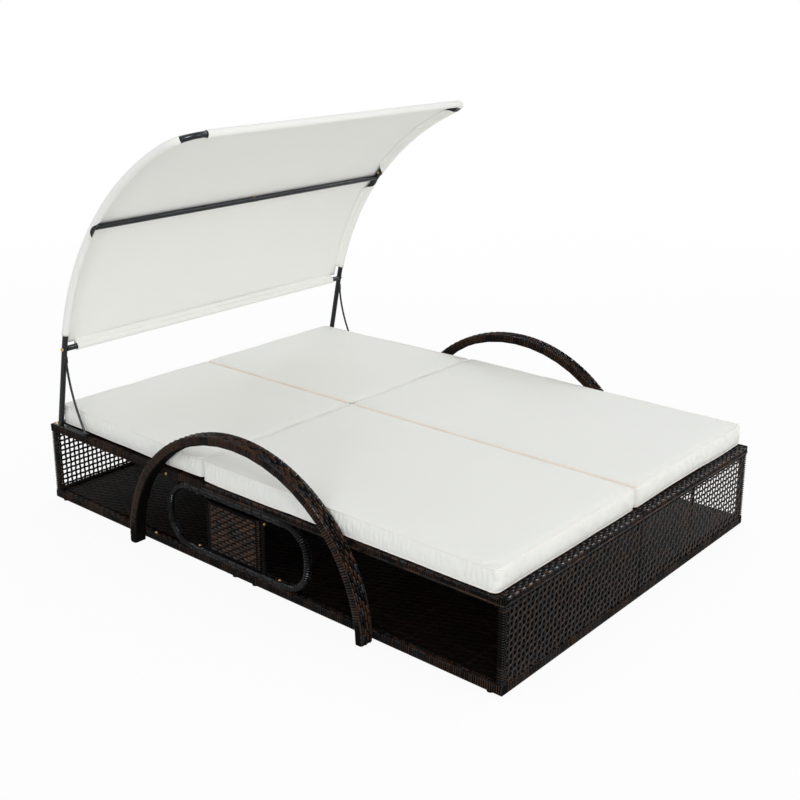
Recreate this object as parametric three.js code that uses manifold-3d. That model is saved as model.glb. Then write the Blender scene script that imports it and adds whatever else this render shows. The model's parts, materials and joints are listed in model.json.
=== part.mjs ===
import * as THREE from "three";
import { mergeVertices } from "three/addons/utils/BufferGeometryUtils.js";
import Module from "manifold-3d";

// Outdoor daybed with canopy. Millimetres, +Z up, foot end towards -Y.
// The origin is on the floor under the middle of the base.

// Base
const baseLength = 2000;
const baseWidth = 1410;
const railSize = 24;
const deckHeight = 286;
const weaveThickness = 4;
const glideHeight = 6;
const glideRadius = 11.5;
const glideInset = 45;
const seamGap = 0.6;
const fitGap = 0.3;
const overrun = 5;
const slatWidth = 20;
const slatThickness = 5;
const shelfSlats = 2;
const seatSlats = 3;
const backrestSlats = 2;

// Cane end panels
const panelDepth = 20;
const panelPost = 16;
const panelRim = 12;
const caneThickness = 5;
const caneLap = 1;
const caneStrand = 9;
const caneColumns = 8;
const caneRows = 4;

// Backrest, its hinge and its stay
const hingeY = 184;
const hingeSpace = 16;
const hingeRodRadius = 4;
const knuckleRadius = 7;
const knuckleLength = 26;
const knuckleWeb = 12;
const rodClearance = 0.3;
const headBorder = 80;
const backrestSideGap = 4;
const weaveSetback = 13;
const borderGap = 6;
const borderRail = 16;
const stayShare = 0.45;
const stayRadius = 6;
const stayBend = 30;
const staySideGap = 2;
const eyeRadius = 8;
const eyeLength = 12;
const stayRodRadius = 4;

// Notched racks that the stays drop into
const rackThickness = 5;
const rackInset = 36;
const rackDepth = 26;
const rackSeat = 20;
const rackLead = 26;
const rackGap = 0.5;
const notchCount = 5;
const notchDepth = 9;
const foldedBackrestAngle = 60;

// Rounded supports between the shelf and the deck, with a woven panel each
const supportRadius = 11;
const supportLength = 654;
const supportCentreY = 37;
const supportBend = 95;
const supportPostRadius = 7;
const supportPostSpacing = 252;
const supportBarRadius = 6;
const supportBarInset = 50;
const sidePanelMargin = 9;
const sidePanelThickness = 10;
const centreSupportLength = 400;
const centreSupportTube = 20;

// Arms
const armReach = 525;
const armRise = 486;
const armCentreY = -22;
const armWidth = 46;
const armThickness = 27;
const armGap = 4;
const armEdge = 5;
const armPadLength = 16;
const armPadHeight = 14;

// Canopy frame
const archReach = 1084;
const archRise = 1051;
const archSetback = 1170;
const archCentreZ = 381;
const archTubeRadius = 10;
const archTubeWall = 1.6;
const jointHeight = 584;
const jointBoltRadius = 3.5;
const jointHeadRadius = 8;
const jointHeadLength = 5;
const spigotLength = 62;
const collarLength = 12;
const shoulderGap = 1.2;
const elbowSetback = 715;
const elbowBend = 85;
const crossBarRadius = 10;
const midBarHeight = 1040;
const midJointLength = 70;
const plateSetback = 8;
const plateLength = 197;
const plateThickness = 4;
const plateWidth = 22;
const braceRadius = 4;
const braceTopDrop = 30;
const braceFootInset = 13;
const braceBulge = 17;
const braceTabLength = 26;
const braceTabWidth = 14;
const braceTabThickness = 3;

// Canopy cloth
const clothThickness = 2.4;
const clothGap = 1;
const sleeveRise = 54;
const hemInset = 48;
const hemTabInset = 19;
const midNotchLength = 54;
const midNotchDepth = 9;
const frontNotchInset = 10;

// Cushions
const cushionHeight = 72;
const cushionCrown = 9;
const cushionDrawIn = 6;
const cushionBulge = 4;
const cushionEdge = 7;
const cushionOverhang = 3;
const cushionSeam = 4;
const seatCushionFoot = 28;
const backCushionStart = 186;
const backCushionHead = 36;
const backCushionSide = 28;

// Facets
const tubeSides = 10;
const smallSides = 8;
const bendSteps = 4;
const archSteps = 14;
const armSteps = 24;
const postSteps = 2;
const braceSteps = 8;
const weldDistance = 0.0005;

// Heights and edges that follow from the values above
const shelfBottom = glideHeight;
const shelfTop = shelfBottom + railSize;
const deckBottom = deckHeight - railSize;
const deckTop = deckHeight + weaveThickness;
const halfWidth = baseWidth / 2;
const halfLength = baseLength / 2;
const halfSeam = seamGap / 2;
const backrestEnd = halfLength - headBorder;
const hingeZ = deckBottom + railSize / 2;
const seatRear = hingeY - hingeSpace / 2;
const backrestStart = hingeY + hingeSpace / 2;
const railCentreX = halfWidth - railSize / 2;
const armInner = halfWidth + armGap;
const armOuter = armInner + armWidth;
const backrestOuter = halfWidth - railSize - backrestSideGap;
const backrestInner = halfSeam + railSize + backrestSideGap;
const borderStart = backrestEnd + borderGap;
const stayLength = stayShare * (backrestEnd - hingeY);
const stayPivotY = hingeY + stayLength;
const stayFootY = stayPivotY + stayLength;
const stayOuter = backrestOuter - railSize - staySideGap - stayRadius;
const stayInner = backrestInner + railSize + staySideGap + stayRadius;
const archCentreY = halfLength - archSetback;
const elbowStartY = halfLength - elbowSetback;
const plateRear = halfLength - plateSetback;
const plateFront = plateRear - plateLength;
const braceFootY = plateFront + braceFootInset;
const sleeveBottom = jointHeight + sleeveRise;
const spigotHeight = sleeveBottom + spigotLength;
const clothInner = archTubeRadius + clothGap;
const clothOuter = clothInner + clothThickness;

const wasm = await Module();
wasm.setup();

// Materials
const rattan = new THREE.MeshStandardMaterial({ color: 0x2e211a, roughness: 0.5, metalness: 0 });
const greyRattan = new THREE.MeshStandardMaterial({ color: 0x2b2b2d, roughness: 0.45, metalness: 0 });
const steel = new THREE.MeshStandardMaterial({ color: 0x2b2f36, roughness: 0.4, metalness: 0.6 });
const zinc = new THREE.MeshStandardMaterial({ color: 0xc2a566, roughness: 0.35, metalness: 0.9 });
const canvas = new THREE.MeshStandardMaterial({ color: 0xe9e9e2, roughness: 0.9, metalness: 0 });
const ivory = new THREE.MeshStandardMaterial({ color: 0xe6e5da, roughness: 0.95, metalness: 0 });

// A closed geometry as a solid, turned to face out if need be
function toSolid(geometry) {
  const plain = geometry.clone();
  plain.deleteAttribute("normal");
  plain.deleteAttribute("uv");
  const merged = mergeVertices(plain, weldDistance);
  const corners = Float32Array.from(merged.attributes.position.array);
  const faces = Uint32Array.from(merged.index.array);
  const solid = new wasm.Manifold(new wasm.Mesh({ numProp: 3, vertProperties: corners, triVerts: faces }));
  if (solid.volume() > 0) return solid;
  for (let i = 0; i < faces.length; i += 3) {
    [faces[i], faces[i + 1]] = [faces[i + 1], faces[i]];
  }
  return new wasm.Manifold(new wasm.Mesh({ numProp: 3, vertProperties: corners, triVerts: faces }));
}

function toGeometry(solid) {
  const mesh = solid.getMesh();
  const geometry = new THREE.BufferGeometry();
  geometry.setAttribute("position", new THREE.BufferAttribute(mesh.vertProperties, 3));
  geometry.setIndex(new THREE.BufferAttribute(mesh.triVerts, 1));
  geometry.computeVertexNormals();
  return geometry;
}

const join = (first, ...others) => others.reduce((solid, other) => solid.add(other), first);
const cut = (first, ...others) => others.reduce((solid, other) => solid.subtract(other), first);

function box(x0, x1, y0, y1, z0, z1) {
  const geometry = new THREE.BoxGeometry(Math.abs(x1 - x0), Math.abs(y1 - y0), Math.abs(z1 - z0));
  geometry.translate((x0 + x1) / 2, (y0 + y1) / 2, (z0 + z1) / 2);
  return toSolid(geometry);
}

// A round bar along X, Y or Z between two places on that axis
function barAlongX(radius, x0, x1, y, z, sides = tubeSides) {
  const geometry = new THREE.CylinderGeometry(radius, radius, Math.abs(x1 - x0), sides);
  geometry.rotateZ(Math.PI / 2);
  geometry.translate((x0 + x1) / 2, y, z);
  return toSolid(geometry);
}

function barAlongY(radius, x, y0, y1, z, sides = tubeSides) {
  const geometry = new THREE.CylinderGeometry(radius, radius, Math.abs(y1 - y0), sides);
  geometry.translate(x, (y0 + y1) / 2, z);
  return toSolid(geometry);
}

function barAlongZ(radius, x, y, z0, z1, sides = tubeSides) {
  const geometry = new THREE.CylinderGeometry(radius, radius, Math.abs(z1 - z0), sides);
  geometry.rotateX(Math.PI / 2);
  geometry.translate(x, y, (z0 + z1) / 2);
  return toSolid(geometry);
}

function hollowBarAlongX(radius, wall, x0, x1, y, z) {
  const outer = barAlongX(radius, x0, x1, y, z);
  const reach = Math.sign(x1 - x0) * overrun;
  return cut(outer, barAlongX(radius - wall, x0 - reach, x1 + reach, y, z));
}

// A flat outline in the YZ plane, as thick as x1 - x0
function sidePlate(outline, x0, x1) {
  const geometry = new THREE.ExtrudeGeometry(outline, { depth: Math.abs(x1 - x0), bevelEnabled: false });
  geometry.rotateX(Math.PI / 2);
  geometry.rotateZ(Math.PI / 2);
  geometry.translate(Math.min(x0, x1), 0, 0);
  return toSolid(geometry);
}

// A path that keeps exactly the stations it is given, so straight runs take one step
class Route extends THREE.Curve {
  constructor(stations) {
    super();
    this.stations = stations;
    const steps = stations.slice(1).map((point, i) => point.clone().sub(stations[i]).normalize());
    this.tangents = stations.map((point, i) => {
      const before = steps[Math.max(i - 1, 0)];
      const after = steps[Math.min(i, steps.length - 1)];
      return before.clone().add(after).normalize();
    });
  }
  place(u) {
    return Math.round(u * (this.stations.length - 1));
  }
  getPointAt(u, target = new THREE.Vector3()) {
    return target.copy(this.stations[this.place(u)]);
  }
  getTangentAt(u, target = new THREE.Vector3()) {
    return target.copy(this.tangents[this.place(u)]);
  }
}

// Stations along straight runs joined by round bends
function bentStations(corners, bend) {
  const stations = [corners[0]];
  for (let i = 1; i < corners.length - 1; i += 1) {
    const back = corners[i - 1].clone().sub(corners[i]).normalize();
    const ahead = corners[i + 1].clone().sub(corners[i]).normalize();
    const halfTurn = back.angleTo(ahead) / 2;
    const reach = bend / Math.tan(halfTurn);
    const toCentre = back.clone().add(ahead).normalize().multiplyScalar(bend / Math.sin(halfTurn));
    const centre = corners[i].clone().add(toCentre);
    const start = corners[i].clone().addScaledVector(back, reach).sub(centre);
    const turn = Math.PI - 2 * halfTurn;
    const axis = new THREE.Vector3().crossVectors(ahead, back).normalize();
    for (let step = 0; step <= bendSteps; step += 1) {
      const arm = start.clone().applyAxisAngle(axis, (turn * step) / bendSteps);
      stations.push(centre.clone().add(arm));
    }
  }
  stations.push(corners[corners.length - 1]);
  return stations;
}

function circleOutline(radius, sides) {
  const outline = new THREE.Shape();
  for (let i = 0; i < sides; i += 1) {
    const angle = (2 * Math.PI * (i + 0.5)) / sides;
    const x = radius * Math.cos(angle);
    const y = radius * Math.sin(angle);
    if (i === 0) outline.moveTo(x, y);
    else outline.lineTo(x, y);
  }
  outline.closePath();
  return outline;
}

function sweep(outline, stations) {
  const route = new Route(stations);
  const settings = { steps: stations.length - 1, bevelEnabled: false, extrudePath: route };
  return toSolid(new THREE.ExtrudeGeometry(outline, settings));
}

const roundSweep = (radius, stations, sides = tubeSides) => sweep(circleOutline(radius, sides), stations);

function hollowSweep(radius, wall, stations) {
  const outline = circleOutline(radius, tubeSides);
  outline.holes.push(circleOutline(radius - wall, tubeSides));
  return sweep(outline, stations);
}

const daybed = new THREE.Group();

function place(name, solid, material) {
  const mesh = new THREE.Mesh(toGeometry(solid), material.clone());
  mesh.name = name;
  daybed.add(mesh);
}

// Every paired piece is built once for each side: -1 is left as seen from the foot end
const sides = [
  { name: "left", sign: -1 },
  { name: "right", sign: 1 },
];
const ends = [
  { name: "foot", sign: -1 },
  { name: "head", sign: 1 },
];

// A rail frame round x0..x1, y0..y1, with flat slats across it
function railFrame(x0, x1, y0, y1, bottom, slats, slatTop) {
  const [left, right] = [Math.min(x0, x1), Math.max(x0, x1)];
  const [near, far] = [Math.min(y0, y1), Math.max(y0, y1)];
  const top = bottom + railSize;
  const innerLeft = left + railSize;
  const innerRight = right - railSize;
  const innerNear = near + railSize;
  const innerFar = far - railSize;
  let frame = cut(
    box(left, right, near, far, bottom, top),
    box(innerLeft, innerRight, innerNear, innerFar, bottom - overrun, top + overrun),
  );
  for (let i = 1; i <= slats; i += 1) {
    const middle = innerNear + ((innerFar - innerNear) * i) / (slats + 1);
    const from = middle - slatWidth / 2;
    const to = middle + slatWidth / 2;
    const end = railSize / 2;
    frame = join(frame, box(innerLeft - end, innerRight + end, from, to, slatTop - slatThickness, slatTop));
  }
  return frame;
}

// Bottom shelf: four frames with a woven floor, each on four glides
function shelfFrame(side, end) {
  const x0 = side.sign * halfSeam;
  const x1 = side.sign * halfWidth;
  const y0 = end.sign * halfSeam;
  const y1 = end.sign * halfLength;
  const floorBottom = shelfTop - weaveThickness;
  let frame = railFrame(x0, x1, y0, y1, shelfBottom, shelfSlats, floorBottom);
  const inset = railSize / 2;
  const floor = box(
    x0 + side.sign * inset,
    x1 - side.sign * inset,
    y0 + end.sign * inset,
    y1 - end.sign * inset,
    floorBottom,
    shelfTop,
  );
  frame = join(frame, floor);
  for (const x of [x0 + side.sign * inset, x1 - side.sign * inset]) {
    for (const y of [y0 + end.sign * glideInset, y1 - end.sign * glideInset]) {
      frame = join(frame, barAlongZ(glideRadius - fitGap, x, y, 0, shelfBottom + railSize / 2));
    }
  }
  return frame;
}

// Hinge knuckles lie in pairs along the rod, one on the seat and one on the backrest
function knucklePlaces() {
  const first = backrestInner + knuckleLength + fitGap;
  const last = backrestOuter - knuckleLength;
  return [first, (first + last) / 2, last];
}

function knuckle(side, from, towardSeat) {
  const x0 = side.sign * from;
  const x1 = side.sign * (from + knuckleLength);
  const barrel = barAlongX(knuckleRadius, x0, x1, hingeY, hingeZ);
  const webEnd = hingeY + (towardSeat ? -1 : 1) * knuckleWeb;
  const halfWeb = knuckleRadius - hingeRodRadius / 2;
  return join(barrel, box(x0, x1, hingeY, webEnd, hingeZ - halfWeb, hingeZ + halfWeb));
}

function hingeBore(side, radius) {
  const x0 = side.sign * (halfSeam + railSize);
  const x1 = side.sign * (halfWidth - railSize);
  return barAlongX(radius, x0, x1, hingeY, hingeZ);
}

function seatFrame(side) {
  const x0 = side.sign * halfSeam;
  const x1 = side.sign * halfWidth;
  let frame = railFrame(x0, x1, -halfLength, seatRear, deckBottom, seatSlats, deckHeight);
  frame = join(frame, box(x0, x1, -halfLength, seatRear, deckHeight, deckTop));
  for (const from of knucklePlaces()) {
    frame = join(frame, knuckle(side, from, true));
  }
  return cut(frame, hingeBore(side, hingeRodRadius + rodClearance));
}

// The fixed frame round a backrest: side rail, middle rail and a woven head border
function rearFrame(side) {
  const x0 = side.sign * halfSeam;
  const x1 = side.sign * halfWidth;
  const start = seatRear + fitGap;
  const opening = box(
    x0 + side.sign * railSize,
    x1 - side.sign * railSize,
    start - overrun,
    borderStart,
    deckBottom - overrun,
    deckHeight + overrun,
  );
  const borderHollow = box(
    x0 + side.sign * railSize,
    x1 - side.sign * railSize,
    borderStart + borderRail,
    halfLength - railSize,
    deckBottom - overrun,
    deckHeight - weaveThickness,
  );
  return cut(box(x0, x1, start, halfLength, deckBottom, deckHeight), opening, borderHollow);
}

function backrestFrame(side) {
  const x0 = side.sign * backrestInner;
  const x1 = side.sign * backrestOuter;
  const weaveStart = hingeY + weaveSetback;
  let frame = railFrame(x0, x1, backrestStart, backrestEnd, deckBottom, backrestSlats, deckHeight);
  frame = join(frame, box(x0, x1, weaveStart, backrestEnd, deckHeight, deckTop));
  for (const from of knucklePlaces()) {
    frame = join(frame, knuckle(side, from - knuckleLength - fitGap, false));
  }
  const rodBore = stayRod(side, stayRodRadius + rodClearance, overrun);
  return cut(frame, hingeBore(side, hingeRodRadius + rodClearance), rodBore);
}

const hingeRod = (side) => {
  const x0 = side.sign * (backrestInner - backrestSideGap / 2);
  const x1 = side.sign * (backrestOuter + backrestSideGap / 2);
  return barAlongX(hingeRodRadius, x0, x1, hingeY, hingeZ);
};

function stayRod(side, radius, extra = 0) {
  const x0 = side.sign * (backrestInner - extra);
  const x1 = side.sign * (backrestOuter + extra);
  return barAlongX(radius, x0, x1, stayPivotY, hingeZ);
}

// U-shaped stay: it lies flat under the weave, and its foot bar slides along the racks
function backrestStay(side) {
  const x0 = side.sign * stayInner;
  const x1 = side.sign * stayOuter;
  const corners = [
    new THREE.Vector3(x0, stayPivotY, hingeZ),
    new THREE.Vector3(x0, stayFootY, hingeZ),
    new THREE.Vector3(x1, stayFootY, hingeZ),
    new THREE.Vector3(x1, stayPivotY, hingeZ),
  ];
  let stay = roundSweep(stayRadius, bentStations(corners, stayBend), smallSides);
  for (const x of [x0, x1]) {
    const half = eyeLength / 2;
    stay = join(stay, barAlongX(eyeRadius, x - half, x + half, stayPivotY, hingeZ));
  }
  return cut(stay, stayRod(side, stayRodRadius + rodClearance));
}

// Rack: a flat bar under the rails, raised and notched where the stay's foot travels
function stayRack(side, x) {
  const low = deckBottom - fitGap;
  const high = hingeZ - stayRadius - rackGap;
  const foldedFoot = hingeY + 2 * stayLength * Math.cos(THREE.MathUtils.degToRad(foldedBackrestAngle));
  const start = seatRear - rackSeat;
  const end = borderStart + borderRail;
  const raisedStart = foldedFoot - rackLead;
  const raisedEnd = stayFootY + rackLead;
  const outline = new THREE.Shape();
  outline.moveTo(start, low - rackDepth);
  outline.lineTo(start, low);
  outline.lineTo(raisedStart - notchDepth, low);
  outline.lineTo(raisedStart, high);
  for (let i = 0; i < notchCount; i += 1) {
    const middle = foldedFoot + ((stayFootY - foldedFoot) * i) / (notchCount - 1);
    outline.lineTo(middle - stayRadius, high);
    outline.lineTo(middle - stayRadius / 2, high - notchDepth);
    outline.lineTo(middle + stayRadius, high - notchDepth);
    outline.lineTo(middle + stayRadius + notchDepth / 2, high);
  }
  outline.lineTo(raisedEnd, high);
  outline.lineTo(raisedEnd + notchDepth, low);
  outline.lineTo(end, low);
  outline.lineTo(end, low - rackDepth);
  outline.closePath();
  const half = rackThickness / 2;
  return sidePlate(outline, side.sign * x - half, side.sign * x + half);
}

// End panels: a wrapped frame with a middle post, and open cane work all over its outer face
function endPanel(side, end) {
  const bottom = shelfTop + fitGap;
  const top = deckBottom - fitGap;
  const left = Math.min(side.sign * halfSeam, side.sign * halfWidth);
  const right = Math.max(side.sign * halfSeam, side.sign * halfWidth);
  const middle = (left + right) / 2;
  const slab = (x0, x1, setback, depth, z0, z1) => {
    const from = end.sign * (halfLength - setback);
    const to = end.sign * (halfLength - depth);
    return box(x0, x1, Math.min(from, to), Math.max(from, to), z0, z1);
  };
  const windows = [
    [left + panelPost, middle - panelRim / 2],
    [middle + panelRim / 2, right - panelPost],
  ];
  let panel = slab(left, right, caneThickness - caneLap, panelDepth, bottom, top);
  for (const [from, to] of windows) {
    panel = cut(panel, slab(from, to, -overrun, panelDepth + overrun, bottom + panelRim, top - panelRim));
  }
  for (let i = 0; i <= caneColumns; i += 1) {
    const x = left + ((right - left - caneStrand) * i) / caneColumns;
    panel = join(panel, slab(x, x + caneStrand, 0, caneThickness, bottom, top));
  }
  for (let i = 0; i <= caneRows; i += 1) {
    const z = bottom + ((top - bottom - caneStrand) * i) / caneRows;
    panel = join(panel, slab(left, right, 0, caneThickness, z, z + caneStrand));
  }
  return panel;
}

// Side support: a tube ring with round ends, two posts and two bars that carry the woven panel
const supportTop = deckBottom - fitGap - supportRadius;
const supportLow = shelfTop + fitGap + supportRadius;
const supportBarTop = supportTop - supportBarInset;
const supportBarLow = supportLow + supportBarInset;

function sideSupport(side) {
  const x = side.sign * (halfWidth - supportRadius);
  const start = supportCentreY - supportLength / 2 + supportRadius;
  const end = supportCentreY + supportLength / 2 - supportRadius;
  const halfRing = (y) => {
    const middle = supportCentreY + Math.sign(supportCentreY - y) * supportRadius;
    return roundSweep(
      supportRadius,
      bentStations(
        [
          new THREE.Vector3(x, middle, supportLow),
          new THREE.Vector3(x, y, supportLow),
          new THREE.Vector3(x, y, supportTop),
          new THREE.Vector3(x, middle, supportTop),
        ],
        supportBend,
      ),
    );
  };
  let support = join(halfRing(start), halfRing(end));
  const postNear = supportCentreY - supportPostSpacing / 2;
  const postFar = supportCentreY + supportPostSpacing / 2;
  for (const y of [postNear, postFar]) {
    support = join(support, barAlongZ(supportPostRadius, x, y, supportLow, supportTop));
  }
  for (const z of [supportBarTop, supportBarLow]) {
    support = join(support, barAlongY(supportBarRadius, x, postNear, postFar, z, smallSides));
  }
  return support;
}

function sidePanel(side) {
  const barFace = halfWidth - supportRadius + supportBarRadius + fitGap;
  const reach = supportPostSpacing / 2 - supportPostRadius - sidePanelMargin;
  const bottom = supportLow + supportRadius + sidePanelMargin;
  const top = supportTop - supportRadius - sidePanelMargin;
  const near = supportCentreY - reach;
  const far = supportCentreY + reach;
  const back = barFace - sidePanelThickness;
  const skin = box(side.sign * back, side.sign * halfWidth, near, far, bottom, top);
  const clear = supportBarRadius + fitGap;
  const x = side.sign * (halfWidth - supportRadius);
  const topChannel = barAlongY(clear, x, near - overrun, far + overrun, supportBarTop, smallSides);
  const lowChannel = barAlongY(clear, x, near - overrun, far + overrun, supportBarLow, smallSides);
  return cut(skin, topChannel, lowChannel);
}

// Middle support: a square tube frame under the rails where the four quarters meet
function centreSupport() {
  const half = centreSupportTube / 2;
  const reach = centreSupportLength / 2;
  const bottom = shelfTop + fitGap;
  const top = deckBottom - fitGap;
  return cut(
    box(-half, half, -reach, reach, bottom, top),
    box(
      -half - overrun,
      half + overrun,
      -reach + centreSupportTube,
      reach - centreSupportTube,
      bottom + centreSupportTube,
      top - centreSupportTube,
    ),
  );
}

// Arms: a half ellipse of wrapped band that stands on the floor, padded out from the rails
function arm(side) {
  const middle = armThickness / 2;
  const reach = armReach - middle;
  const rise = armRise - middle;
  const halfBand = armWidth / 2;
  const section = new THREE.Shape();
  section.moveTo(-halfBand + armEdge, -middle);
  section.lineTo(halfBand - armEdge, -middle);
  section.lineTo(halfBand, -middle + armEdge);
  section.lineTo(halfBand, middle - armEdge);
  section.lineTo(halfBand - armEdge, middle);
  section.lineTo(-halfBand + armEdge, middle);
  section.lineTo(-halfBand, middle - armEdge);
  section.lineTo(-halfBand, -middle + armEdge);
  section.closePath();
  const x = side.sign * (armInner + halfBand);
  const below = Math.asin(overrun / rise);
  const stations = [];
  for (let i = 0; i <= armSteps; i += 1) {
    const angle = -below + ((Math.PI + 2 * below) * i) / armSteps;
    stations.push(new THREE.Vector3(x, armCentreY + reach * Math.cos(angle), rise * Math.sin(angle)));
  }
  const ground = box(
    side.sign * halfWidth,
    side.sign * (armOuter + overrun),
    -halfLength,
    halfLength,
    -armThickness,
    0,
  );
  let band = cut(sweep(section, stations), ground);
  for (const z of [shelfBottom + railSize / 2, deckBottom + railSize / 2]) {
    const offset = reach * Math.sqrt(1 - (z / rise) ** 2);
    for (const y of [armCentreY - offset, armCentreY + offset]) {
      const x0 = side.sign * (halfWidth + fitGap);
      const x1 = side.sign * (armInner + halfBand);
      const halfPad = armPadLength / 2;
      const low = z - armPadHeight / 2;
      band = join(band, box(x0, x1, y - halfPad, y + halfPad, low, low + armPadHeight));
    }
  }
  return band;
}

// Canopy arch: an ellipse in the YZ plane that the posts, tubes and cloth share
const archY = (z) => archCentreY + archReach * Math.sqrt(1 - ((z - archCentreZ) / archRise) ** 2);
const archAngleAt = (z) => Math.asin((z - archCentreZ) / archRise);
const elbowAngle = Math.acos((elbowStartY - archCentreY) / archReach);
const sleeveAngle = archAngleAt(sleeveBottom);
const archPoint = (x, angle) =>
  new THREE.Vector3(x, archCentreY + archReach * Math.cos(angle), archCentreZ + archRise * Math.sin(angle));

function archNormal(angle) {
  return new THREE.Vector3(0, archRise * Math.cos(angle), archReach * Math.sin(angle)).normalize();
}

function archStations(x, from, to, steps) {
  const stations = [];
  for (let i = 0; i <= steps; i += 1) {
    stations.push(archPoint(x, from + ((to - from) * i) / steps));
  }
  return stations;
}

const jointY = archY(jointHeight);
const jointAngle = archAngleAt(jointHeight);
const postSlope = (archReach / archRise) * Math.tan(jointAngle);
const archDirection = new THREE.Vector3(
  0,
  -archReach * Math.sin(elbowAngle),
  archRise * Math.cos(elbowAngle),
).normalize();
const elbowStart = archPoint(0, elbowAngle);
const frontBarPlace = elbowStart.clone().addScaledVector(archDirection, elbowBend);
const frontBarEnd = railCentreX - elbowBend;

// Post: a foot plate and the lower tube, straight below the joint, bored at the top for the spigot
const spigotAngle = archAngleAt(spigotHeight);

function postTube(x, radius) {
  const footZ = deckHeight + fitGap + plateThickness / 2;
  const foot = new THREE.Vector3(x, jointY + postSlope * (jointHeight - footZ), footZ);
  const bent = archStations(x, jointAngle, sleeveAngle, postSteps);
  return roundSweep(radius, [foot, ...bent, archPoint(x, spigotAngle)]);
}

function jointHole(side, radius) {
  const reach = archTubeRadius + jointHeadLength;
  const x = side.sign * railCentreX;
  return barAlongX(radius, x - side.sign * reach, x + side.sign * reach, jointY, jointHeight, smallSides);
}

function canopyPost(side) {
  const x = side.sign * railCentreX;
  const plateBottom = deckHeight + fitGap;
  const halfPlate = plateWidth / 2;
  const foot = box(
    x - halfPlate,
    x + halfPlate,
    plateFront,
    plateRear,
    plateBottom,
    plateBottom + plateThickness,
  );
  const bore = roundSweep(archTubeRadius - archTubeWall, [
    archPoint(x, sleeveAngle),
    archPoint(x, spigotAngle),
    archPoint(x, archAngleAt(spigotHeight + overrun)),
  ]);
  return cut(join(foot, postTube(x, archTubeRadius)), bore, jointHole(side, jointBoltRadius + rodClearance));
}

// Arch tube: an open tube whose reduced end, the spigot, slides into the post
const archRoute = (x) => archStations(x, spigotAngle, elbowAngle, archSteps);

function canopyArch(side) {
  const x = side.sign * railCentreX;
  const bore = archTubeRadius - archTubeWall;
  const shoulder = archPoint(x, archAngleAt(spigotHeight + shoulderGap));
  const collarEnd = archPoint(x, archAngleAt(spigotHeight + collarLength));
  const spigotEnd = archPoint(x, archAngleAt(sleeveBottom + seamGap));
  const tube = hollowSweep(archTubeRadius, archTubeWall, [shoulder, ...archRoute(x).slice(1)]);
  const spigot = roundSweep(bore - fitGap, [spigotEnd, shoulder, collarEnd]);
  const collar = roundSweep(bore + archTubeWall / 2, [shoulder, collarEnd]);
  const hollow = roundSweep(bore - fitGap - archTubeWall, [
    archPoint(x, archAngleAt(sleeveBottom - overrun)),
    spigotEnd,
    shoulder,
    archPoint(x, archAngleAt(spigotHeight + collarLength + overrun)),
  ]);
  return cut(join(tube, spigot, collar), hollow);
}

function canopyElbow(side) {
  const x = side.sign * railCentreX;
  const start = elbowStart.clone().setX(x).addScaledVector(archDirection, seamGap);
  const corner = elbowStart.clone().setX(x).addScaledVector(archDirection, elbowBend);
  const end = corner.clone().setX(side.sign * (frontBarEnd + fitGap));
  return hollowSweep(archTubeRadius, archTubeWall, bentStations([start, corner, end], elbowBend - overrun));
}

const frontBar = () =>
  hollowBarAlongX(
    archTubeRadius,
    archTubeWall,
    -frontBarEnd,
    frontBarEnd,
    frontBarPlace.y,
    frontBarPlace.z,
  );

// Bars across the canopy butt against the inner faces of the arch tubes
const barEnd = railCentreX - archTubeRadius - fitGap;

function lowerBar() {
  const bar = barAlongX(crossBarRadius, -barEnd, barEnd, jointY, jointHeight);
  const plug = jointBoltRadius + rodClearance;
  const depth = barEnd - crossBarRadius;
  return cut(
    bar,
    barAlongX(plug, -barEnd - overrun, -depth, jointY, jointHeight, smallSides),
    barAlongX(plug, depth, barEnd + overrun, jointY, jointHeight, smallSides),
  );
}

function jointBolt(side) {
  const x = side.sign * railCentreX;
  const outer = x + side.sign * (archTubeRadius + fitGap);
  const inner = side.sign * (barEnd - crossBarRadius + overrun);
  return join(
    barAlongX(jointBoltRadius, inner, outer + side.sign * fitGap, jointY, jointHeight, smallSides),
    barAlongX(jointHeadRadius, outer, outer + side.sign * jointHeadLength, jointY, jointHeight),
  );
}

// Middle bar: two tubes, the left one reduced to plug into the right one
const midBarY = archY(midBarHeight);

function midBar(side) {
  const bore = crossBarRadius - archTubeWall;
  const x0 = side.sign * fitGap;
  const x1 = side.sign * barEnd;
  const tube = hollowBarAlongX(crossBarRadius, archTubeWall, x0, x1, midBarY, midBarHeight);
  if (side.sign > 0) return tube;
  const plug = hollowBarAlongX(
    bore - fitGap,
    archTubeWall,
    -midJointLength,
    midJointLength,
    midBarY,
    midBarHeight,
  );
  const collar = barAlongX(bore + archTubeWall / 2, -midJointLength, -midJointLength / 2, midBarY, midBarHeight);
  const clearance = barAlongX(
    bore - fitGap - archTubeWall,
    -midJointLength - overrun,
    midJointLength,
    midBarY,
    midBarHeight,
  );
  return cut(join(tube, plug, collar), clearance);
}

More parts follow.
